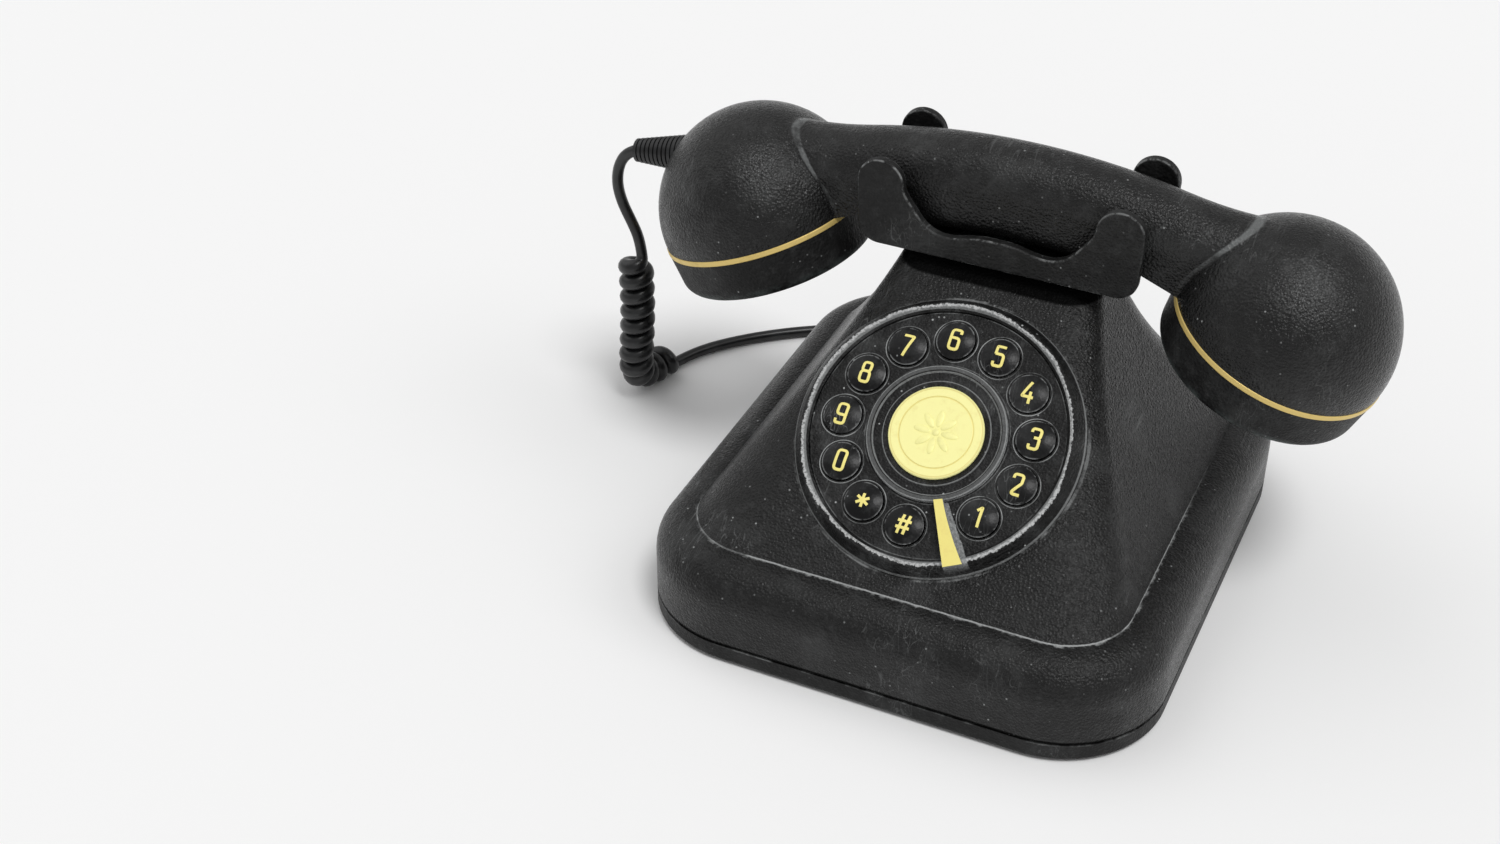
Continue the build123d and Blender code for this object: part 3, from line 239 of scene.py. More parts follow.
class TelephoneColours(bpy.types.PropertyGroup):
    """Colours of the finishes"""
    plastic: bpy.props.FloatVectorProperty(
        name="Plastic", description="Black of the shell and the handset", subtype="COLOR", size=3,
        default=srgb(21, 21, 21), min=0, max=1)
    # This grey colours real wear, and also the painted highlights on the keys' crowns and the highlight
    # specks on the domes.
    worn: bpy.props.FloatVectorProperty(
        name="Worn", description="Grey of the worn edges", subtype="COLOR", size=3,
        default=srgb(168, 170, 170), min=0, max=1)
    gold: bpy.props.FloatVectorProperty(
        name="Gold", description="Gold of the figures and the finger stop", subtype="COLOR", size=3,
        default=srgb(250, 236, 140), min=0, max=1)
    disc: bpy.props.FloatVectorProperty(
        name="Disc", description="Pale gold of the disc in the middle of the dial", subtype="COLOR", size=3,
        default=srgb(255, 250, 172), min=0, max=1)
    band: bpy.props.FloatVectorProperty(
        name="Band", description="Gold of the bands around the cups", subtype="COLOR", size=3,
        default=srgb(226, 198, 120), min=0, max=1)
    floor: bpy.props.FloatVectorProperty(
        name="Floor", description="Pale floor", subtype="COLOR", size=3,
        default=srgb(247, 247, 247), min=0, max=1)


# ---------------------------------------------------------------- node trees
class Weave:
    """Adds nodes to a tree and links them, so that a finish reads from top to bottom."""

    # A Mix node's colour sockets, which share their names with its number sockets.
    UNDER, OVER, MIXED = 6, 7, 2

    def __init__(self, tree):
        self.nodes = tree.nodes
        self.links = tree.links
        self.place = None

    def feed(self, socket, value):
        """Links an output to a socket, or sets the socket to a number, a colour or a vector."""
        if isinstance(value, bpy.types.NodeSocket):
            self.links.new(value, socket)
        elif isinstance(value, (int, float)) and socket.type in {"RGBA", "VECTOR"}:
            socket.default_value = [value] * 3 + [1] * (socket.type == "RGBA")
        elif socket.type == "RGBA" and len(value) == 3:
            socket.default_value = (*value, 1)
        else:
            socket.default_value = value

    def add(self, kind, inputs=None, **settings):
        """A new node with its settings, and its inputs fed."""
        node = self.nodes.new(kind)
        for name, value in settings.items():
            setattr(node, name, value)
        for name, value in (inputs or {}).items():
            self.feed(node.inputs[name], value)
        return node

    def math(self, operation, first, second=0.0, clamp=False):
        node = self.add("ShaderNodeMath", {0: first, 1: second}, operation=operation, use_clamp=clamp)
        return node.outputs[0]

    def chain(self, operation, values):
        """The values joined by one operation, from left to right."""
        total = values[0]
        for value in values[1:]:
            total = self.math(operation, total, value)
        return total

    def plus(self, *values):
        return self.chain("ADD", values)

    def minus(self, first, second):
        return self.math("SUBTRACT", first, second)

    def times(self, *values):
        return self.chain("MULTIPLY", values)

    def largest(self, *values):
        return self.chain("MAXIMUM", values)

    def away(self, value, middle):
        """How far a value is from a middle value, on either side."""
        return self.math("ABSOLUTE", self.minus(value, middle))

    def vector_math(self, operation, first, second):
        node = self.add("ShaderNodeVectorMath", {0: first, 1: second}, operation=operation)
        return node.outputs["Value" if operation in {"DISTANCE", "DOT_PRODUCT"} else "Vector"]

    def dot(self, first, second):
        return self.vector_math("DOT_PRODUCT", first, second)

    def ramp(self, value, low, high, start=0.0, end=1.0):
        """Goes smoothly from start to end while value goes from low to high."""
        node = self.add("ShaderNodeMapRange", {"Value": value, "From Min": low, "From Max": high,
                                               "To Min": start, "To Max": end},
                        interpolation_type="SMOOTHSTEP")
        return node.outputs["Result"]

    def fade(self, value, low, high):
        """Falls smoothly from 1 to 0 while value goes from low to high."""
        return self.ramp(value, low, high, 1.0, 0.0)

    def between(self, value, low, high, soft):
        """A mask that is 1 while value lies between low and high."""
        rise = self.ramp(value, low - soft, low + soft)
        return self.times(rise, self.fade(value, high - soft, high + soft))

    def noise(self, scale, detail=4.0, roughness=0.55, distortion=0.0, place=None):
        node = self.add("ShaderNodeTexNoise", {"Vector": self.place if place is None else place,
                                               "Scale": scale, "Detail": detail,
                                               "Roughness": roughness, "Distortion": distortion})
        return node.outputs["Fac"]

    def patches(self, noise, low, high, start=0.0, end=1.0):
        """Soft patches: start where the noise is below low, and end where it is above high."""
        return self.ramp(self.noise(*noise), low, high, start, end)

    def fray(self, noise, width):
        """A ragged offset around zero, at most half a width to either side."""
        return self.times(self.minus(self.noise(*noise), 0.5), width)

    def cover(self, under, over, *masks):
        """One colour laid over another, as strongly as the masks say together."""
        node = self.add("ShaderNodeMix", data_type="RGBA")
        self.feed(node.inputs["Factor"], self.times(*masks))
        self.feed(node.inputs[self.UNDER], under)
        self.feed(node.inputs[self.OVER], over)
        return node.outputs[self.MIXED]


def add_inputs(tree, inputs):
    """Gives a node group its inputs: for each its label, its kind and its default."""
    for label, kind, value in inputs:
        socket = tree.interface.new_socket(label, in_out="INPUT", socket_type="NodeSocket" + kind)
        if value is not None:
            socket.default_value = value


def shader_group(name, inputs, outputs):
    """An empty shader node group, with its place on the object as first input."""
    tree = bpy.data.node_groups.new(name, "ShaderNodeTree")
    add_inputs(tree, [("Vector", "Vector", None), *inputs])
    for label, kind in outputs:
        tree.interface.new_socket(label, in_out="OUTPUT", socket_type="NodeSocket" + kind)
    weave = Weave(tree)
    given = weave.add("NodeGroupInput").outputs
    weave.place = given["Vector"]
    return tree, weave, given, weave.add("NodeGroupOutput").inputs


def dust_specks(weave):
    """Small round specks: the few cells of a fine pattern that draw a high number, in patches."""
    cells = weave.add("ShaderNodeTexVoronoi", {"Vector": weave.place, "Scale": 640.0, "Randomness": 1.0})
    draw = weave.add("ShaderNodeSeparateColor", {"Color": cells.outputs["Color"]}).outputs["Red"]
    chosen = weave.ramp(draw, 0.90, 0.98)
    close = weave.fade(cells.outputs["Distance"], 0.10, 0.25)
    return weave.times(chosen, close, weave.patches((26, 3), 0.42, 0.62, 0.25, 1.0))


def scratch_lines(weave):
    """Long fine lines in three directions, in patches."""
    lines = []
    for turn, fineness in ((0.5, 1.0), (2.1, 1.3), (-0.9, 0.8)):
        stretched = weave.add("ShaderNodeMapping", {
            "Vector": weave.place, "Rotation": (turn * 0.7, turn * 0.4, turn),
            "Scale": (300 * fineness, 9 * fineness, 110 * fineness)})
        level = weave.noise(1.0, 1.5, 0.5, 0.35, place=stretched.outputs["Vector"])
        lines.append(weave.fade(weave.away(level, 0.5), 0.0, 0.009))
    return weave.times(weave.largest(*lines), weave.patches((44, 3), 0.52, 0.66))


def make_age_group():
    """Mottling, dust, scratches and a fine leather-like grain for old black plastic."""
    tree, weave, given, result = shader_group(
        "Aged plastic",
        [("Base", "Color", (0.02, 0.02, 0.02, 1)), ("Worn", "Color", (0.3, 0.3, 0.3, 1)),
         ("Mottle", "Float", 0.5), ("Dust", "Float", 0.5), ("Scratches", "Float", 0.5),
         ("Grain", "Float", 0.5), ("Roughness", "Float", 0.45)],
        [("Color", "Color"), ("Roughness", "Float"), ("Height", "Float")])
    broad = weave.patches((46, 6, 0.66), 0.46, 0.70)
    fine = weave.patches((240, 6, 0.7), 0.50, 0.72)
    mottle = weave.times(weave.plus(broad, weave.times(fine, 0.7)), given["Mottle"])
    dust = weave.times(dust_specks(weave), given["Dust"])
    scratch = weave.times(scratch_lines(weave), given["Scratches"])
    colour = weave.cover(given["Base"], given["Worn"], mottle, 0.065)
    colour = weave.cover(colour, given["Worn"], dust, 0.8)
    weave.feed(result["Color"], weave.cover(colour, given["Worn"], scratch, 0.21))
    pebbles = weave.add("ShaderNodeTexVoronoi", {"Vector": weave.place, "Scale": 1200.0}).outputs["Distance"]
    wrinkles = weave.noise(820, 5, 0.7, 0.4)
    crests = weave.times(weave.minus(wrinkles, 0.5), given["Grain"])
    rougher = weave.plus(given["Roughness"], weave.times(crests, 0.9), weave.times(mottle, 0.08))
    weave.feed(result["Roughness"], weave.math("ADD", rougher, weave.times(dust, 0.3), clamp=True))
    grain = weave.times(weave.plus(pebbles, wrinkles), given["Grain"])
    weave.feed(result["Height"], weave.minus(grain, weave.times(scratch, 0.25)))
    return tree


def make_wear_group():
    """A worn, broken light line where a distance is near zero."""
    tree, weave, given, result = shader_group(
        "Worn line",
        [("Distance", "Float", 1.0), ("Width", "Float", 0.5 * MM), ("Wander", "Float", 0.6),
         ("Whole", "Float", 0.5)],
        [("Mask", "Float")])
    wander = weave.fray((330, 4, 0.6), given["Wander"])
    width = weave.times(given["Width"], weave.plus(wander, 1.0))
    away = weave.math("DIVIDE", weave.math("ABSOLUTE", given["Distance"]), width)
    whole = weave.plus(weave.noise(90, 5, 0.65), weave.minus(given["Whole"], 0.5))
    weave.feed(result["Mask"], weave.times(weave.fade(away, 0.45, 1.0), weave.ramp(whole, 0.36, 0.58)))
    return tree


def make_dial_group():
    """Where a spot lies on the dial: its radius, across and up, and its height out of the plane."""
    tree, weave, given, result = shader_group(
        "Dial place", [],
        [("Radius", "Float"), ("Across", "Float"), ("Up", "Float"), ("Height", "Float")])
    from_centre = weave.vector_math("SUBTRACT", given["Vector"], DIAL_CENTRE)
    across = weave.dot(from_centre, RIGHT)
    up = weave.dot(from_centre, FACE_UP)
    square = weave.plus(weave.times(across, across), weave.times(up, up))
    weave.feed(result["Radius"], weave.math("SQRT", square))
    weave.feed(result["Across"], across)
    weave.feed(result["Up"], up)
    weave.feed(result["Height"], weave.dot(from_centre, FACE_OUT))
    return tree


GROUPS = {"Aged plastic": make_age_group, "Worn line": make_wear_group, "Dial place": make_dial_group}


class Finish(Weave):
    """A material under construction, with its shader and its place on the object."""

    def __init__(self, name, roughness=0.5, metallic=0.0, specular=0.5):
        self.material = bpy.data.materials.new(name)
        self.material.use_nodes = True
        super().__init__(self.material.node_tree)
        self.shader = self.nodes["Principled BSDF"]
        self.shader.inputs["Roughness"].default_value = roughness
        self.shader.inputs["Metallic"].default_value = metallic
        self.shader.inputs["Specular IOR Level"].default_value = specular
        self.place = self.add("ShaderNodeTexCoord").outputs["Object"]

    def group(self, name, **inputs):
        """The outputs of a shared group, which is built at its first use."""
        tree = bpy.data.node_groups.get(name) or GROUPS[name]()
        node = self.add("ShaderNodeGroup", node_tree=tree)
        self.feed(node.inputs["Vector"], self.place)
        for label, value in inputs.items():
            self.feed(node.inputs[label], value)
        return node.outputs

    def worn_line(self, distance, width, wander, whole):
        """A broken light line where distance is near zero, more whole as whole nears 1."""
        return self.group("Worn line", Distance=distance, Width=width, Wander=wander, Whole=whole)["Mask"]

    def aged(self, look, mottle, dust, scratches, grain, roughness=0.46, base=None):
        """The common worn black plastic: returns its colour, and sets its roughness and grain."""
        out = self.group("Aged plastic", Base=base or look.plastic, Worn=look.worn, Mottle=mottle, Dust=dust,
                         Scratches=scratches, Grain=grain, Roughness=roughness)
        self.rough(out["Roughness"])
        self.bump(out["Height"], 1.0, 0.26 * MM)
        return out["Color"]

    def colour(self, value):
        self.feed(self.shader.inputs["Base Color"], value)

    def rough(self, value):
        self.feed(self.shader.inputs["Roughness"], value)

    def bump(self, height, strength, distance):
        node = self.add("ShaderNodeBump", {"Height": height, "Strength": strength, "Distance": distance})
        self.feed(self.shader.inputs["Normal"], node.outputs["Normal"])

    def along(self, direction):
        """How far along a direction a spot lies, from the origin."""
        return self.dot(self.place, Vector(direction))

    def distance(self, spot):
        return self.vector_math("DISTANCE", self.place, spot)

    def facing(self, direction):
        """How squarely the surface faces a direction, where 1 is straight on."""
        normal = self.add("ShaderNodeNewGeometry").outputs["Normal"]
        return self.dot(normal, Vector(direction))


# ---------------------------------------------------------------- finishes
def make_shell_finish(look):
    """The shell: worn along its crease and around the dial, with painted shade in the neck and by the seam.
    """
    shine = 0.27
    finish = Finish("Worn black shell", specular=shine)
    colour = finish.aged(look, mottle=0.75, dust=1.0, scratches=0.9, grain=0.9, roughness=0.29)
    height = finish.along(UP)
    rear = finish.along(REAR)
    above_crease = finish.plus(finish.minus(height, CREASE_HEIGHT), finish.fray((420, 4, 0.6), 0.22 * MM))
    line = finish.between(above_crease, 0.02 * MM, 0.30 * MM, 0.04 * MM)
    on_left = finish.fade(rear, -64 * MM, -50 * MM)
    on_right = finish.fade(rear, -20 * MM, 45 * MM)
    right_side = finish.ramp(finish.along(RIGHT), -30 * MM, 30 * MM)
    left_side = finish.minus(1.0, right_side)
    kept = finish.plus(finish.times(on_right, right_side), finish.times(on_left, left_side))
    broken = finish.patches((60, 5, 0.65), 0.36, 0.52, 0.25, 1.0)
    colour = finish.cover(colour, look.worn, line, kept, broken, 0.85)

    dial = finish.group("Dial place")
    rub = finish.worn_line(finish.minus(dial["Radius"], DIAL_SEAT_RADIUS), 0.6 * MM, wander=1.2, whole=0.42)
    near_face = finish.ramp(dial["Height"], -12 * MM, -6 * MM)
    colour = finish.cover(colour, look.worn, rub, near_face, 0.5)

    # Painted shade: the neck under the cradle and the shell's lower edge by the seam are coloured near-black
    # and lose their specular, standing for the shadow there.
    neck_shade = finish.ramp(height, NECK_SHADE_HEIGHT, NECK_SHADE_HEIGHT + 0.8 * MM)
    seam_shade = finish.fade(height, SEAM_HEIGHT + 0.2 * MM, SEAM_HEIGHT + 0.9 * MM)
    painted_shade = finish.largest(neck_shade, seam_shade)
    finish.colour(finish.cover(colour, srgb(5, 5, 5), painted_shade, 0.9))
    finish.feed(finish.shader.inputs["Specular IOR Level"], finish.ramp(painted_shade, 0.0, 1.0, shine, 0.02))
    return finish.material


def make_tray_finish(look):
    """The tray, worn along its upper edge."""
    finish = Finish("Worn black tray", specular=0.22)
    colour = finish.aged(look, mottle=0.8, dust=0.7, scratches=0.6, grain=0.5)
    above_edge = finish.minus(finish.along(UP), TRAY_EDGE)
    line = finish.worn_line(above_edge, 0.5 * MM, wander=1.2, whole=0.4)
    finish.colour(finish.cover(colour, look.worn, line, 0.4))
    return finish.material


def dome_centre(side):
    """Centre of a cup's dome, on the side of the mouth or of the ear."""
    low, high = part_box("handset_shell")
    edge = high[0] if side == EAR else low[0]
    band = box_middle(BANDS[side])
    return Vector((edge - side * DOME_RADIUS, band.y, band.z + DOME_LIFT * cos(CUP_TILT)))


def make_handset_finish(look):
    """The handset: worn where its handle runs into the domes, with a patch of light specks on each dome
    where its highlight falls, partly dust and partly painted highlight.
    """
    finish = Finish("Worn black handset", specular=0.33)
    colour = finish.aged(look, mottle=0.7, dust=1.0, scratches=0.7, grain=0.9, roughness=0.25,
                         base=srgb(19, 19, 19))
    powder_and_sheen = finish.patches((2400, 3, 0.7), 0.52, 0.66)
    for side in BANDS:
        centre = dome_centre(side)
        off_dome = finish.minus(finish.distance(centre), DOME_RADIUS + 1 * MM)
        line = finish.worn_line(off_dome, 0.7 * MM, wander=0.9, whole=0.55)
        high = finish.ramp(finish.along(UP), 98 * MM, 112 * MM)
        colour = finish.cover(colour, srgb(146, 149, 149), line, high, 0.42)
        # Light specks where each dome's highlight falls: partly dust, partly painted highlight.
        patch = centre + Vector(DUST_AND_SHEEN_SPOTS[side]) * DOME_RADIUS
        beside = finish.fade(finish.distance(patch), 1 * MM, 12 * MM)
        colour = finish.cover(colour, look.worn, beside, powder_and_sheen, 0.4)
    finish.colour(colour)
    return finish.material


def make_cap_finish(look):
    """The screwed caps, with a greenish grey painted highlight along their lower rims."""
    finish = Finish("Worn black cap", specular=0.24)
    colour = finish.aged(look, mottle=1.0, dust=0.9, scratches=0.6, grain=0.7, roughness=0.5)
    for side, band in BANDS.items():
        down = Vector((-side * sin(CUP_TILT), 0, -cos(CUP_TILT)))
        below_band = finish.dot(finish.vector_math("SUBTRACT", finish.place, box_middle(band)), down)
        edge = finish.ramp(below_band, 10.8 * MM, 13.8 * MM)
        fray = finish.patches((150, 6, 0.7), 0.38, 0.62)
        on_side = finish.ramp(finish.times(finish.along(RIGHT), side), 0.0, 1 * MM)
        # A greenish grey painted highlight along each cap's lower rim, on its outer side.
        colour = finish.cover(colour, srgb(142, 154, 152), edge, fray, on_side, 0.26)
    finish.colour(colour)
    return finish.material


def stop_line():
    """The finger stop's inner end and its direction outwards, both on the dial's face."""
    corners = [vertex.co - DIAL_CENTRE for vertex in NODES["finger_stop"].data.vertices]
    spots = sorted((Vector((spot.dot(RIGHT), spot.dot(FACE_UP))) for spot in corners),
                   key=lambda spot: spot.length)
    quarter = max(1, len(spots) // 4)
    inner = sum(spots[:quarter], Vector((0, 0))) / quarter
    outer = sum(spots[-quarter:], Vector((0, 0))) / quarter
    return inner, (outer - inner).normalized()


def stop_halo(finish, dial):
    """Worn plastic on either side of the finger stop, wider towards the rim."""
    inner, way = stop_line()
    across = finish.minus(dial["Across"], inner.x)
    up = finish.minus(dial["Up"], inner.y)
    off_line = finish.away(finish.times(across, way.y), finish.times(up, way.x))
    along = finish.plus(finish.times(across, way.x), finish.times(up, way.y))
    spread = finish.plus(off_line, finish.times(along, -0.09), finish.fray((500, 5, 0.7), 1.4 * MM))
    beside = finish.fade(spread, 1.7 * MM, 2.0 * MM)
    from_hub = finish.ramp(dial["Radius"], 20.8 * MM, 21.6 * MM)
    to_rim = finish.fade(dial["Radius"], 40 * MM, 42 * MM)
    flecks = finish.patches((1200, 4, 0.7), 0.40, 0.60, 0.6, 1.0)
    return finish.times(beside, finish.times(from_hub, to_rim), flecks)


def make_dial_finish(look):
    """Bezel, face plate and hub: rings of wear around the dial's centre."""
    finish = Finish("Worn black dial", specular=0.24)
    colour = finish.aged(look, mottle=1.3, dust=2.2, scratches=0.9, grain=1.0, roughness=0.40,
                         base=srgb(16, 16, 16))
    dial = finish.group("Dial place")
    radius = dial["Radius"]
    jagged = finish.fray((800, 6, 0.75), 2.4 * MM)
    wandering = finish.patches((40, 3, 0.5), 0.40, 0.60, 0.0, 0.9 * MM)
    ragged_radius = finish.minus(finish.minus(radius, wandering), jagged)
    rubbed = finish.times(finish.ramp(radius, 38.45 * MM, 38.60 * MM),
                          finish.fade(ragged_radius, 39.1 * MM, 39.3 * MM))
    colour = finish.cover(colour, look.worn, rubbed, 0.48)
    rim = finish.times(finish.ramp(ragged_radius, 38.0 * MM, 38.7 * MM), rubbed)
    flecks = finish.patches((1300, 4, 0.7), 0.36, 0.54)
    colour = finish.cover(colour, srgb(205, 206, 206), rim, flecks, 0.8)
    hub = finish.between(radius, 19.3 * MM, 20.4 * MM, 0.1 * MM)
    colour = finish.cover(colour, look.worn, hub, 0.2)
    for ring, width, whole, strength in WORN_RINGS:
        line = finish.worn_line(finish.minus(radius, ring), width, wander=1.0, whole=whole)
        colour = finish.cover(colour, look.worn, line, strength)
    finish.colour(finish.cover(colour, srgb(150, 152, 152), stop_halo(finish, dial)))
    return finish.material


def make_key_finish(look):
    """The glossy keys, with a broken light line painted around each crown's edge as a highlight."""
    finish = Finish("Black key", specular=0.2)
    colour = finish.aged(look, mottle=1.0, dust=1.0, scratches=1.3, grain=0.08, roughness=0.3,
                         base=srgb(15, 15, 16))
    # A broken light line around the crown's edge, where its slope turns: painted highlight, in the worn
    # grey.
    edge = finish.between(finish.facing(FACE_OUT), 0.88, 0.915, 0.006)
    broken = finish.patches((260, 5, 0.7), 0.42, 0.58)
    finish.colour(finish.cover(colour, look.worn, edge, broken, 0.8))
    return finish.material


def make_cradle_finish(look):
    """The cradle, with light rims where its edges are rubbed."""
    finish = Finish("Worn black cradle", specular=0.25)
    colour = finish.aged(look, mottle=0.8, dust=0.8, scratches=0.7, grain=0.6)
    rim = finish.between(finish.math("ABSOLUTE", finish.facing(REAR)), 0.25, 0.9, 0.12)
    fray = finish.patches((300, 6, 0.75), 0.42, 0.6)
    rubbed = finish.patches((55, 3, 0.5), 0.42, 0.58, 0.12, 1.0)
    finish.colour(finish.cover(colour, look.worn, rim, fray, rubbed, 0.5))
    return finish.material


def make_gold_finish(name, colour, roughness=0.42, metallic=0.35, wear=0.3):
    """Satin gold with darker, duller patches."""
    finish = Finish(name, roughness=roughness, metallic=metallic)
    worn = finish.patches((260, 6, 0.65), 0.45, 0.75)
    darker = [part * 0.62 for part in colour]
    finish.colour(finish.cover(colour, darker, worn, wear))
    finish.rough(finish.ramp(worn, 0.0, 1.0, roughness, roughness + 0.18))
    finish.bump(finish.noise(900, 3), 0.25, 0.04 * MM)
    return finish.material


def make_disc_finish(look):
    """The gold disc in the middle of the dial, with its engraved rings."""
    finish = Finish("Gold disc", roughness=0.5, metallic=0.1)
    dial = finish.group("Dial place")
    worn = finish.patches((300, 6, 0.65), 0.5, 0.8)
    shade = [part * share for part, share in zip(look.disc, (0.78, 0.66, 0.45))]
    grooves = [finish.fade(finish.away(dial["Radius"], radius), 0.12 * MM, 0.28 * MM)
               for radius in DISC_GROOVES]
    groove = finish.largest(*grooves)
    colour = finish.cover(look.disc, shade, worn, 0.35)
    finish.colour(finish.cover(colour, shade, groove, 0.5))
    finish.bump(finish.minus(finish.times(finish.noise(700, 3), 0.3), groove), 0.6, 0.12 * MM)
    return finish.material


def make_stop_finish(look):
    """The finger stop: gold on top, bare grey metal on its sides."""
    finish = Finish("Finger stop", roughness=0.4, metallic=0.3)
    top = finish.ramp(finish.facing(FACE_OUT), 0.75, 0.9)
    gold = finish.cover(look.gold, look.band, finish.patches((300, 6, 0.65), 0.45, 0.8), 0.3)
    finish.colour(finish.cover(look.worn, gold, top))
    finish.bump(finish.noise(900, 3), 0.25, 0.04 * MM)
    return finish.material


def make_plain_finish(name, colour, roughness, metallic=0.0, grain=500, wear=0.3):
    """Inner and small pieces: an uneven colour with a light surface texture."""
    finish = Finish(name, roughness=roughness, metallic=metallic)
    uneven = finish.patches((120, 5, 0.6), 0.35, 0.7)
    darker = [part * (1 - wear) for part in colour]
    finish.colour(finish.cover(darker, colour, uneven))
    finish.rough(finish.ramp(uneven, 0.0, 1.0, roughness, min(1.0, roughness + 0.12)))
    finish.bump(finish.noise(grain, 3), 0.3, 0.06 * MM)
    return finish.material


def make_board_finish():
    """Green circuit board with pale copper tracks."""
    finish = Finish("Circuit board", roughness=0.4)
    tracks = finish.add("ShaderNodeTexBrick", {"Vector": finish.place, "Scale": 260.0, "Mortar Size": 0.012})
    track = finish.ramp(tracks.outputs["Fac"], 0.3, 0.7)
    finish.colour(finish.cover(srgb(24, 84, 50), srgb(70, 130, 80), track))
    return finish.material


def make_cord_finish():
    """Smooth black plastic, a little paler in patches."""
    finish = Finish("Black cord", roughness=0.33, specular=0.45)
    paler = finish.patches((160, 5, 0.6), 0.4, 0.75)
    finish.colour(finish.cover(srgb(22, 22, 23), srgb(74, 76, 77), paler, 0.25))
    finish.bump(finish.noise(800, 3), 0.3, 0.05 * MM)
    return finish.material


def make_finishes(look):
    """Each finish, and the frame's nodes that wear it."""
    inner = make_plain_finish("Inner plastic", srgb(52, 52, 54), 0.6)
    rubber = make_plain_finish("Black rubber", srgb(38, 38, 38), 0.85)
    steel = make_plain_finish("Zinc steel", srgb(176, 177, 180), 0.32, metallic=1.0)
    iron = make_plain_finish("Cast iron", srgb(92, 90, 88), 0.7, metallic=0.6, grain=350)
    dial = make_dial_finish(look)
    cap = make_cap_finish(look)
    key = make_key_finish(look)
    band = make_gold_finish("Gold band", look.band, roughness=0.38, metallic=0.3)
    cord = make_cord_finish()
    board = make_board_finish()
    wearers = {
        "body_shell": make_shell_finish(look), "base_tray": make_tray_finish(look),
        "handset_shell": make_handset_finish(look), "cradle": make_cradle_finish(look),
        "mouth_cap": cap, "ear_cap": cap, "hook_plunger": cap,
        "dial_bezel": dial, "dial_face_plate": dial, "dial_hub": dial,
        "mouth_band": band, "ear_band": band,
        "centre_disc": make_disc_finish(look), "finger_stop": make_stop_finish(look),
        "handset_strain_relief": cord, "cord_gland": cord, "handset_cord_upper": cord,
        "handset_cord_coil": cord, "handset_cord_lower": cord,
        "rubber_feet": rubber, "mouth_gasket": rubber, "ear_gasket": rubber, "key_mat": rubber,
        "main_board": board, "keypad_board": board, "ballast_weight": iron,
    }
    for name in KEYS:
        wearers[name] = key
    for name in NODES:
        metal = name.endswith("_screws") or name in {"plunger_spring", "plunger_clip", "switch_bracket"}
        wearers.setdefault(name, steel if metal else inner)
    return wearers


# ---------------------------------------------------------------- mesh helpers
def link_mesh(name, mesh, material, body):
    """Puts a mesh into the scene as a piece that rides on a body."""
    piece = bpy.data.objects.new(name, mesh)
    bpy.context.scene.collection.objects.link(piece)
    mesh.materials.clear()
    mesh.materials.append(material)
    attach(piece, body)


def rounded(points, radius, closed, step=0.18):
    """A flat line, in millimetres, from point to point with its corners rounded off."""
    corner_share = 0.49         # the most of a stroke that one corner takes up
    shortest_corner = 1e-4
    shortest_piece = 1e-5
    points = [Vector(point) for point in points]
    count = len(points)
    line = []
    for index, here in enumerate(points):
        if not closed and index in (0, count - 1):
            line.append(here)
            continue
        back = points[index - 1] - here
        ahead = points[(index + 1) % count] - here
        half = back.angle(ahead) / 2
        trim = min(radius / tan(half), corner_share * back.length, corner_share * ahead.length)
        start = here + back.normalized() * trim
        end = here + ahead.normalized() * trim
        pieces = max(2, ceil((pi - 2 * half) * trim / step)) if trim > shortest_corner else 1
        for part in range(pieces + 1):
            share = part / pieces
            line.append(start * (1 - share) ** 2 + here * (2 * share * (1 - share)) + end * share ** 2)
    if closed:
        line.append(line[0])
    fine = [line[0]]
    for before, after in zip(line, line[1:]):
        parts = max(1, ceil((after - before).length / step / 2))
        fine += [before.lerp(after, part / parts) for part in range(1, parts + 1)]
    return [spot for index, spot in enumerate(fine)
            if index == 0 or (spot - fine[index - 1]).length > shortest_piece]


def ribbon(shape, line, closed, width, rise, lay):
    """Adds a flat raised line to a mesh: lay puts a point of the flat drawing on the surface."""
    bevel = 0.1 * width
    sunk = -0.35 * width
    half = width / 2
    profile = [(-half, sunk), (-half, rise - bevel), (-half + bevel, rise),
               (half - bevel, rise), (half, rise - bevel), (half, sunk)]
    if closed:
        line = line[:-1]
    count = len(line)
    rows = []
    for index, spot in enumerate(line):
        before = line[index - 1] if closed or index > 0 else spot
        after = line[(index + 1) % count] if closed or index < count - 1 else spot
        along = (after - before).normalized()
        side = Vector((-along.y, along.x))
        rows.append([shape.verts.new(lay(spot + side * offset, height)) for offset, height in profile])
    pairs = zip(rows, rows[1:] + rows[:1]) if closed else zip(rows, rows[1:])
    for row, following in pairs:
        for index in range(len(profile)):
            other = (index + 1) % len(profile)
            shape.faces.new((row[index], following[index], following[other], row[other]))
    if not closed:
        shape.faces.new(rows[0])
        shape.faces.new(list(reversed(rows[-1])))


def finished_mesh(name, shape, smooth_angle=None):
    """Turns a bmesh into a mesh with its normals outwards."""
    bmesh.ops.recalc_face_normals(shape, faces=shape.faces)
    mesh = bpy.data.meshes.new(name)
    shape.to_mesh(mesh)
    shape.free()
    if smooth_angle is not None:
        mesh.shade_smooth()
        mesh.set_sharp_from_angle(angle=smooth_angle)
    return mesh


def evaluated_mesh(holder, name):
    """The plain mesh of an object with its modifiers."""
    depsgraph = bpy.context.evaluated_depsgraph_get()
    mesh = bpy.data.meshes.new_from_object(holder.evaluated_get(depsgraph), depsgraph=depsgraph)
    mesh.name = name
    data = holder.data
    bpy.data.objects.remove(holder)
    bpy.data.meshes.remove(data)
    return mesh


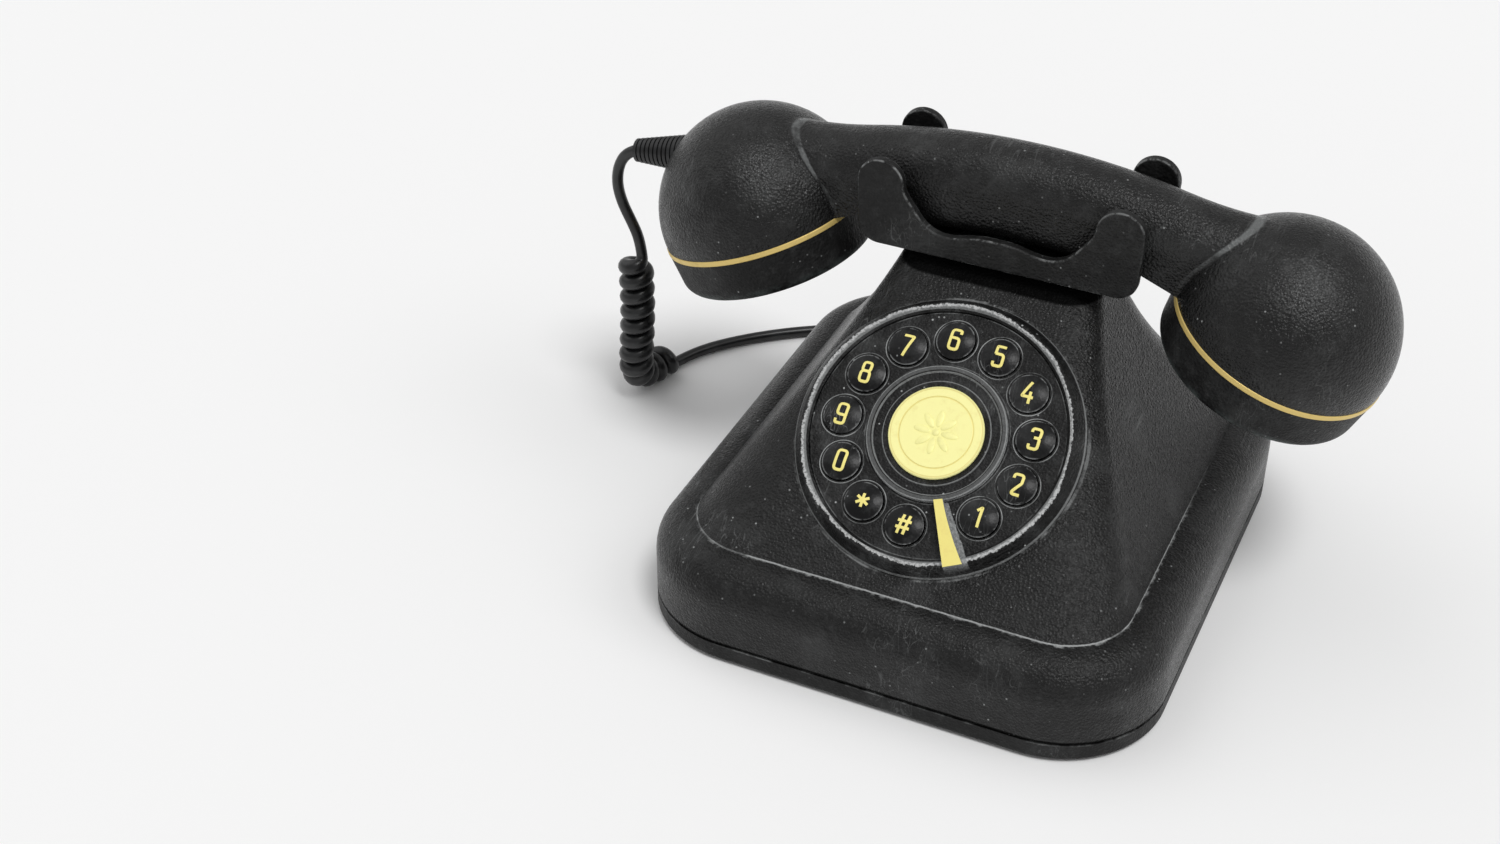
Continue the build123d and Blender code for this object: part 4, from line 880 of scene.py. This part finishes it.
# ---------------------------------------------------------------- geometry node trees
class GeometryTree(Weave):
    """A geometry node group with named inputs, ended by Realize Instances and Set Material."""

    def __init__(self, name, inputs):
        self.tree = bpy.data.node_groups.new(name, "GeometryNodeTree")
        add_inputs(self.tree, [("Geometry", "Geometry", None), *inputs, ("Material", "Material", None)])
        self.tree.interface.new_socket("Geometry", in_out="OUTPUT", socket_type="NodeSocketGeometry")
        super().__init__(self.tree)
        self.given = self.add("NodeGroupInput").outputs

    def close(self, instances):
        real = self.add("GeometryNodeRealizeInstances", {"Geometry": instances})
        finished = self.add("GeometryNodeSetMaterial", {"Geometry": real.outputs[0],
                                                        "Material": self.given["Material"]})
        out = self.add("NodeGroupOutput")
        self.feed(out.inputs[0], finished.outputs[0])
        return self.tree


def make_ring_tree():
    """A fine round ring at each point, turned about X by the tilt."""
    tree = GeometryTree("Rings at points", [
        ("Radius", "Float", 6 * MM), ("Wire", "Float", 0.2 * MM), ("Tilt", "Float", 0.0)])
    circle = tree.add("GeometryNodeCurvePrimitiveCircle", {"Resolution": 48, "Radius": tree.given["Radius"]})
    wire = tree.add("GeometryNodeCurvePrimitiveCircle", {"Resolution": 8, "Radius": tree.given["Wire"]})
    ring = tree.add("GeometryNodeCurveToMesh", {
        "Curve": circle.outputs["Curve"], "Profile Curve": wire.outputs["Curve"]})
    turn = tree.add("ShaderNodeCombineXYZ", {"X": tree.given["Tilt"]})
    points = tree.add("GeometryNodeMeshToPoints", {"Mesh": tree.given["Geometry"]})
    rings = tree.add("GeometryNodeInstanceOnPoints", {
        "Points": points.outputs[0], "Instance": ring.outputs[0], "Rotation": turn.outputs[0]})
    return tree.close(rings.outputs[0])


def make_rosette_tree():
    """Low petals around a boss, lying on the plane z = 0."""
    tree = GeometryTree("Rosette", [
        ("Petals", "Int", 8), ("Reach", "Float", 3 * MM), ("Petal", "Vector", (2 * MM, 0.8 * MM, 0.3 * MM))])
    boss_share = 0.28           # the boss's radius as a share of the reach
    boss_rise = 0.4 * MM
    spots = tree.add("GeometryNodeMeshCircle", {
        "Vertices": tree.given["Petals"], "Radius": tree.given["Reach"]})
    ball = tree.add("GeometryNodeMeshUVSphere", {"Segments": 20, "Rings": 10, "Radius": 1.0})
    outward = tree.add("GeometryNodeInputPosition")
    turn = tree.add("FunctionNodeAlignRotationToVector", {"Vector": outward.outputs[0]}, axis="X")
    petals = tree.add("GeometryNodeInstanceOnPoints", {
        "Points": spots.outputs[0], "Instance": ball.outputs[0], "Rotation": turn.outputs[0],
        "Scale": tree.given["Petal"]})
    boss = tree.add("GeometryNodeMeshUVSphere", {"Segments": 24, "Rings": 12, "Radius": 1.0})
    width = tree.times(tree.given["Reach"], boss_share)
    size = tree.add("ShaderNodeCombineXYZ", {"X": width, "Y": width, "Z": boss_rise})
    raised = tree.add("GeometryNodeTransform", {"Geometry": boss.outputs[0], "Scale": size.outputs[0]})
    both = tree.add("GeometryNodeJoinGeometry")
    tree.links.new(petals.outputs[0], both.inputs[0])
    tree.links.new(raised.outputs[0], both.inputs[0])
    smooth = tree.add("GeometryNodeSetShadeSmooth", {"Geometry": both.outputs[0]})
    return tree.close(smooth.outputs[0])


def make_row_tree():
    """Thin round pins in a row along X, each lying along Y."""
    tree = GeometryTree("Row of pins", [
        ("Count", "Int", 4), ("Step", "Float", 1 * MM), ("Long", "Float", 6 * MM),
        ("Thin", "Float", 0.2 * MM)])
    gap = tree.add("ShaderNodeCombineXYZ", {"X": tree.given["Step"]})
    spots = tree.add("GeometryNodeMeshLine", {"Count": tree.given["Count"], "Offset": gap.outputs[0]})
    pin = tree.add("GeometryNodeMeshCylinder", {
        "Vertices": 10, "Radius": tree.given["Thin"], "Depth": tree.given["Long"]})
    pins = tree.add("GeometryNodeInstanceOnPoints", {
        "Points": spots.outputs[0], "Instance": pin.outputs["Mesh"], "Rotation": (pi / 2, 0, 0)})
    return tree.close(pins.outputs[0])


def grown(name, mesh, tree, material, inputs):
    """Runs a geometry tree on a mesh and returns the plain result."""
    holder = bpy.data.objects.new(name, mesh)
    bpy.context.scene.collection.objects.link(holder)
    modifier = holder.modifiers.new("Growth", "NODES")
    modifier.node_group = tree
    values = {**inputs, "Material": material}
    for item in tree.interface.items_tree:
        if item.in_out == "INPUT" and item.name in values:
            modifier[item.identifier] = values[item.name]
    return evaluated_mesh(holder, name)


# ---------------------------------------------------------------- the cord's line
def smooth_line(route, steps=14):
    """Points along the NURBS spline of a route."""
    curve = bpy.data.curves.new("Route", "CURVE")
    curve.dimensions = "3D"
    spline = curve.splines.new("NURBS")
    spline.points.add(len(route) - 1)
    for spot, place in zip(spline.points, route):
        spot.co = (*place, 1)
    spline.order_u = 3
    spline.use_endpoint_u = True
    spline.resolution_u = steps
    holder = bpy.data.objects.new("Route", curve)
    mesh = bpy.data.meshes.new_from_object(holder)
    line = [vertex.co.copy() for vertex in mesh.vertices]
    bpy.data.objects.remove(holder)
    bpy.data.curves.remove(curve)
    bpy.data.meshes.remove(mesh)
    return line


def evenly(line, step):
    """The same line with its points a step apart."""
    spaced = [line[0].copy()]
    left = step
    for before, after in zip(line, line[1:]):
        run = after - before
        while run.length >= left:
            before = before + run.normalized() * left
            spaced.append(before.copy())
            run = after - before
            left = step
        left -= run.length
    if (spaced[-1] - line[-1]).length > step * 0.4:
        spaced.append(line[-1].copy())
    return spaced


def frames_along(line):
    """A direction and two cross directions at each point, turned as little as possible."""
    side = (line[1] - line[0]).cross(REAR).normalized()
    frames = []
    for index, spot in enumerate(line):
        along = (line[min(index + 1, len(line) - 1)] - line[max(index - 1, 0)]).normalized()
        side = (side - along * side.dot(along)).normalized()
        frames.append((spot, along, side, along.cross(side)))
    return frames


def curled(axis_line, radius, pitch):
    """A helix around an axis line, that ends at the lowest side of its last turn."""
    tries = 72                  # how many ends around the last turn are compared
    frames = frames_along(axis_line)
    step = (axis_line[1] - axis_line[0]).length
    _, _, side, other = frames[-1]
    end_angle = min((k * tau / tries for k in range(tries)),
                    key=lambda angle: (side * cos(angle) + other * sin(angle)).z)
    wanted = len(frames) * step / pitch * tau
    last_angle = tau * round((wanted - end_angle) / tau) + end_angle
    line = []
    for index, (spot, _, side, other) in enumerate(frames):
        angle = last_angle * index / (len(frames) - 1)
        line.append(spot + (side * cos(angle) + other * sin(angle)) * radius)
    return line


def relaxed(line, rounds, first, last):
    """Evens out the points of a line from first up to last, and leaves both its ends in place."""
    line = list(line)
    for _ in range(rounds):
        old = line[:]
        for index in range(max(1, first), min(len(line) - 1, last)):
            line[index] = old[index] * 0.4 + (old[index - 1] + old[index + 1]) * 0.3
    return line


def cord_radii(count, curls_start, curls_end, step, thin, thick):
    """The cord's radius at each point: thin where it runs straight, thick in its curls."""
    swell = 8 * MM              # the length over which it goes from thin to thick
    ahead = 0.35                # the share of that length that lies before the curls
    radii = []
    for index in range(count):
        inside = min(index - curls_start, curls_end - index) * step / swell
        share = min(1.0, max(0.0, inside + ahead))
        radii.append(thin + (thick - thin) * share * share * (3 - 2 * share))
    return radii


def tube_mesh(name, line, radii, around=14):
    """A closed tube along a line, with a radius for each point."""
    shape = bmesh.new()
    turns = [k * tau / around for k in range(around)]
    rows = []
    for (spot, _, side, other), radius in zip(frames_along(line), radii):
        rows.append([shape.verts.new(spot + (side * cos(turn) + other * sin(turn)) * radius)
                     for turn in turns])
    for row, following in zip(rows, rows[1:]):
        for index in range(around):
            beside = (index + 1) % around
            shape.faces.new((row[index], row[beside], following[beside], following[index]))
    shape.faces.new(list(reversed(rows[0])))
    shape.faces.new(rows[-1])
    return finished_mesh(name, shape, radians(60))


# ---------------------------------------------------------------- operators
class TELEPHONE_OT_stage(bpy.types.Operator):
    """Sets up the floor, the soft lamps and the camera"""
    bl_idname = "telephone.stage"
    bl_label = "Stage"

    def execute(self, context):
        scene = context.scene
        scene.view_settings.view_transform = "Standard"
        self.add_floor(scene)
        self.add_world(scene)
        for lamp in LAMPS:
            self.add_sun(scene, *lamp)
        self.add_camera(scene)
        return {"FINISHED"}

    def add_floor(self, scene):
        shape = bmesh.new()
        bmesh.ops.create_grid(shape, x_segments=1, y_segments=1, size=FLOOR_HALF)
        floor = bpy.data.objects.new("Floor", finished_mesh("Floor", shape))
        scene.collection.objects.link(floor)
        finish = Finish("Pale floor", roughness=0.9, specular=0.0)
        finish.colour(scene.telephone_colours.floor)
        floor.data.materials.append(finish.material)

    def add_world(self, scene):
        world = bpy.data.worlds.new("Soft room")
        scene.world = world
        world.use_nodes = True
        back = world.node_tree.nodes["Background"]
        back.inputs["Color"].default_value = (1, 1, 1, 1)
        back.inputs["Strength"].default_value = LIT_ROOM

    def add_sun(self, scene, name, towards, spread, strength):
        """A soft distant lamp in the direction towards it, as wide as spread degrees."""
        data = bpy.data.lights.new(name, "SUN")
        data.angle = radians(spread)
        data.energy = strength
        lamp = bpy.data.objects.new(name, data)
        lamp.location = Vector(towards)
        lamp.rotation_euler = Vector(towards).to_track_quat("Z", "Y").to_euler()
        scene.collection.objects.link(lamp)

    def add_camera(self, scene):
        data = bpy.data.cameras.new("Camera")
        data.lens = CAMERA_LENS
        data.sensor_width = CAMERA_SENSOR
        camera = bpy.data.objects.new("Camera", data)
        camera.location = CAMERA_PLACE
        camera.rotation_euler = (CAMERA_AIM - CAMERA_PLACE).to_track_quat("-Z", "Y").to_euler()
        scene.collection.objects.link(camera)
        scene.camera = camera


class TELEPHONE_OT_cord(bpy.types.Operator):
    """Lays the handset's curly cord along its route"""
    bl_idname = "telephone.cord"
    bl_label = "Handset cord"

    def execute(self, context):
        line, radii = self.shape(context.scene.telephone_sizes)
        mesh = tube_mesh("handset_cord", line, radii)
        cord = bpy.data.objects.new("handset_cord", mesh)
        context.scene.collection.objects.link(cord)
        mesh.materials.append(make_cord_finish())
        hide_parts("handset_cord_upper", "handset_cord_coil", "handset_cord_lower")
        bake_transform(cord)
        return {"FINISHED"}

    def shape(self, sizes):
        """The middle line of the whole cord, and its radius at each point."""
        step = 0.5 * MM
        fine_step = 0.2 * MM
        floor_gap = 0.1 * MM
        join_rounds = 30
        join_reach = 7              # points on either side of a join that are evened out
        all_rounds = 10
        thin_radius = sizes.cord_thin / 2
        thick_radius = sizes.cord_thick / 2
        upper = evenly(smooth_line(UPPER_ROUTE), step)
        lower = evenly(smooth_line(LOWER_ROUTE), step)
        coil_axis = evenly(smooth_line(COIL_ROUTE), fine_step)
        helix = evenly(curled(coil_axis, sizes.coil_radius - thick_radius, sizes.pitch), step)
        joins = (len(upper), len(upper) + len(helix))
        line = upper + helix + lower
        for join in joins:
            line = relaxed(line, join_rounds, join - join_reach, join + join_reach)
        line = relaxed(line, all_rounds, 1, len(line) - 1)
        radii = cord_radii(len(line), *joins, step, thin_radius, thick_radius)
        line = [Vector((spot.x, spot.y, max(spot.z, radius + floor_gap)))
                for spot, radius in zip(line, radii)]
        return line, radii


class TELEPHONE_OT_finishes(bpy.types.Operator):
    """Gives every piece of the frame its finish"""
    bl_idname = "telephone.finishes"
    bl_label = "Finishes"

    def execute(self, context):
        for name, material in make_finishes(context.scene.telephone_colours).items():
            piece = NODES[name]
            if not piece.material_slots:
                piece.data.materials.append(material)
            for slot in piece.material_slots:
                slot.material = material
        return {"FINISHED"}


class TELEPHONE_OT_figures(bpy.types.Operator):
    """Puts the gold figures on the keys"""
    bl_idname = "telephone.figures"
    bl_label = "Figures"

    def execute(self, context):
        sizes = context.scene.telephone_sizes
        gold = make_gold_finish("Gold figure", context.scene.telephone_colours.gold, metallic=0.1, wear=0.2)
        for body in KEYS:
            self.add_figure(body, sizes, gold)
        return {"FINISHED"}

    def add_figure(self, body, sizes, gold):
        top = top_spot(body)
        stagger = 0.012             # each stroke stands this much higher than the one before it

        def lay(flat, height):
            """Puts a spot of the flat drawing, in millimetres, on the key's crown."""
            across, up = flat.x * MM, flat.y * MM
            drop = KEY_CROWN_RADIUS - sqrt(KEY_CROWN_RADIUS ** 2 - across ** 2 - up ** 2)
            return top + RIGHT * across + FACE_UP * up + FACE_OUT * (height * MM - drop)

        shape = bmesh.new()
        for index, (points, corner, closed) in enumerate(FIGURES[body.removeprefix("button_")]):
            line = rounded(points, corner, closed)
            rise = sizes.figure_rise / MM + stagger * index
            ribbon(shape, line, closed, sizes.stroke / MM, rise, lay)
        name = body.replace("button", "figure")
        link_mesh(name, finished_mesh(name, shape, radians(35)), gold, body)


class TELEPHONE_OT_dial_trim(bpy.types.Operator):
    """Adds the fine rings around the keys and the rosette on the gold disc"""
    bl_idname = "telephone.dial_trim"
    bl_label = "Dial trim"

    def execute(self, context):
        self.add_rings(context)
        self.add_rosette(context)
        return {"FINISHED"}

    def add_rings(self, context):
        plate = reach("dial_face_plate", FACE_OUT)
        spots = [top_spot(body) for body in KEYS]
        mesh = bpy.data.meshes.new("Key spots")
        mesh.from_pydata([spot + FACE_OUT * (plate - spot.dot(FACE_OUT)) for spot in spots], [], [])
        colour = [part * 0.95 for part in context.scene.telephone_colours.worn]
        finish = make_plain_finish("Worn ring", colour, 0.5, wear=0.92)
        rings = grown("key_rings", mesh, make_ring_tree(), finish, {
            "Radius": context.scene.telephone_sizes.ring_radius, "Wire": 0.16 * MM, "Tilt": FACE_ANGLE})
        link_mesh("key_rings", rings, finish, "base")

    def add_rosette(self, context):
        gold = make_gold_finish("Gold rosette", context.scene.telephone_colours.disc, roughness=0.5,
                                metallic=0.15, wear=0.35)
        mesh = grown("rosette", bpy.data.meshes.new("Rosette seed"), make_rosette_tree(), gold, {
            "Petals": context.scene.telephone_sizes.petals, "Reach": 4.2 * MM,
            "Petal": (2.6 * MM, 1.1 * MM, 0.28 * MM)})
        turn = Matrix((RIGHT, FACE_UP, FACE_OUT)).transposed().to_4x4()
        mesh.transform(Matrix.Translation(top_spot("centre_disc")) @ turn)
        link_mesh("rosette", mesh, gold, "base")


class TELEPHONE_OT_socket_pins(bpy.types.Operator):
    """Adds the spring contacts inside the line socket"""
    bl_idname = "telephone.socket_pins"
    bl_label = "Socket contacts"

    def execute(self, context):
        count = 4
        step = 1.27 * MM
        from_mouth = 4.5 * MM
        above_floor = 2.1 * MM
        gold = make_gold_finish("Contact gold", (0.8, 0.62, 0.25), roughness=0.3, metallic=1.0)
        mesh = grown("socket_pins", bpy.data.meshes.new("Pin seed"), make_row_tree(), gold, {
            "Count": count, "Step": step, "Long": 6 * MM, "Thin": 0.22 * MM})
        low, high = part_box("line_jack")
        first_across = (low[0] + high[0]) / 2 - step * (count - 1) / 2
        mesh.transform(Matrix.Translation((first_across, high[1] - from_mouth, low[2] + above_floor)))
        link_mesh("socket_pins", mesh, gold, "base")
        return {"FINISHED"}


class TELEPHONE_PT_panel(bpy.types.Panel):
    """Lists the telephone's sizes, its colours and its steps"""
    bl_label = "Telephone"
    bl_idname = "TELEPHONE_PT_panel"
    bl_space_type = "VIEW_3D"
    bl_region_type = "UI"
    bl_category = "Telephone"

    def draw(self, context):
        for group in (context.scene.telephone_sizes, context.scene.telephone_colours):
            for name in group.__annotations__:
                self.layout.prop(group, name)
        for operator in OPERATORS:
            self.layout.operator(operator.bl_idname)


OPERATORS = (TELEPHONE_OT_stage, TELEPHONE_OT_cord, TELEPHONE_OT_finishes, TELEPHONE_OT_figures,
             TELEPHONE_OT_dial_trim, TELEPHONE_OT_socket_pins)
CLASSES = (TelephoneSizes, TelephoneColours, *OPERATORS, TELEPHONE_PT_panel)


def register():
    for item in CLASSES:
        bpy.utils.register_class(item)
    bpy.types.Scene.telephone_sizes = bpy.props.PointerProperty(type=TelephoneSizes)
    bpy.types.Scene.telephone_colours = bpy.props.PointerProperty(type=TelephoneColours)


def unregister():
    del bpy.types.Scene.telephone_colours
    del bpy.types.Scene.telephone_sizes
    for item in reversed(CLASSES):
        bpy.utils.unregister_class(item)


def main():
    register()
    bpy.ops.telephone.stage()
    bpy.ops.telephone.cord()
    bpy.ops.telephone.finishes()
    bpy.ops.telephone.figures()
    bpy.ops.telephone.dial_trim()
    bpy.ops.telephone.socket_pins()


if __name__ == "__main__":
    main()
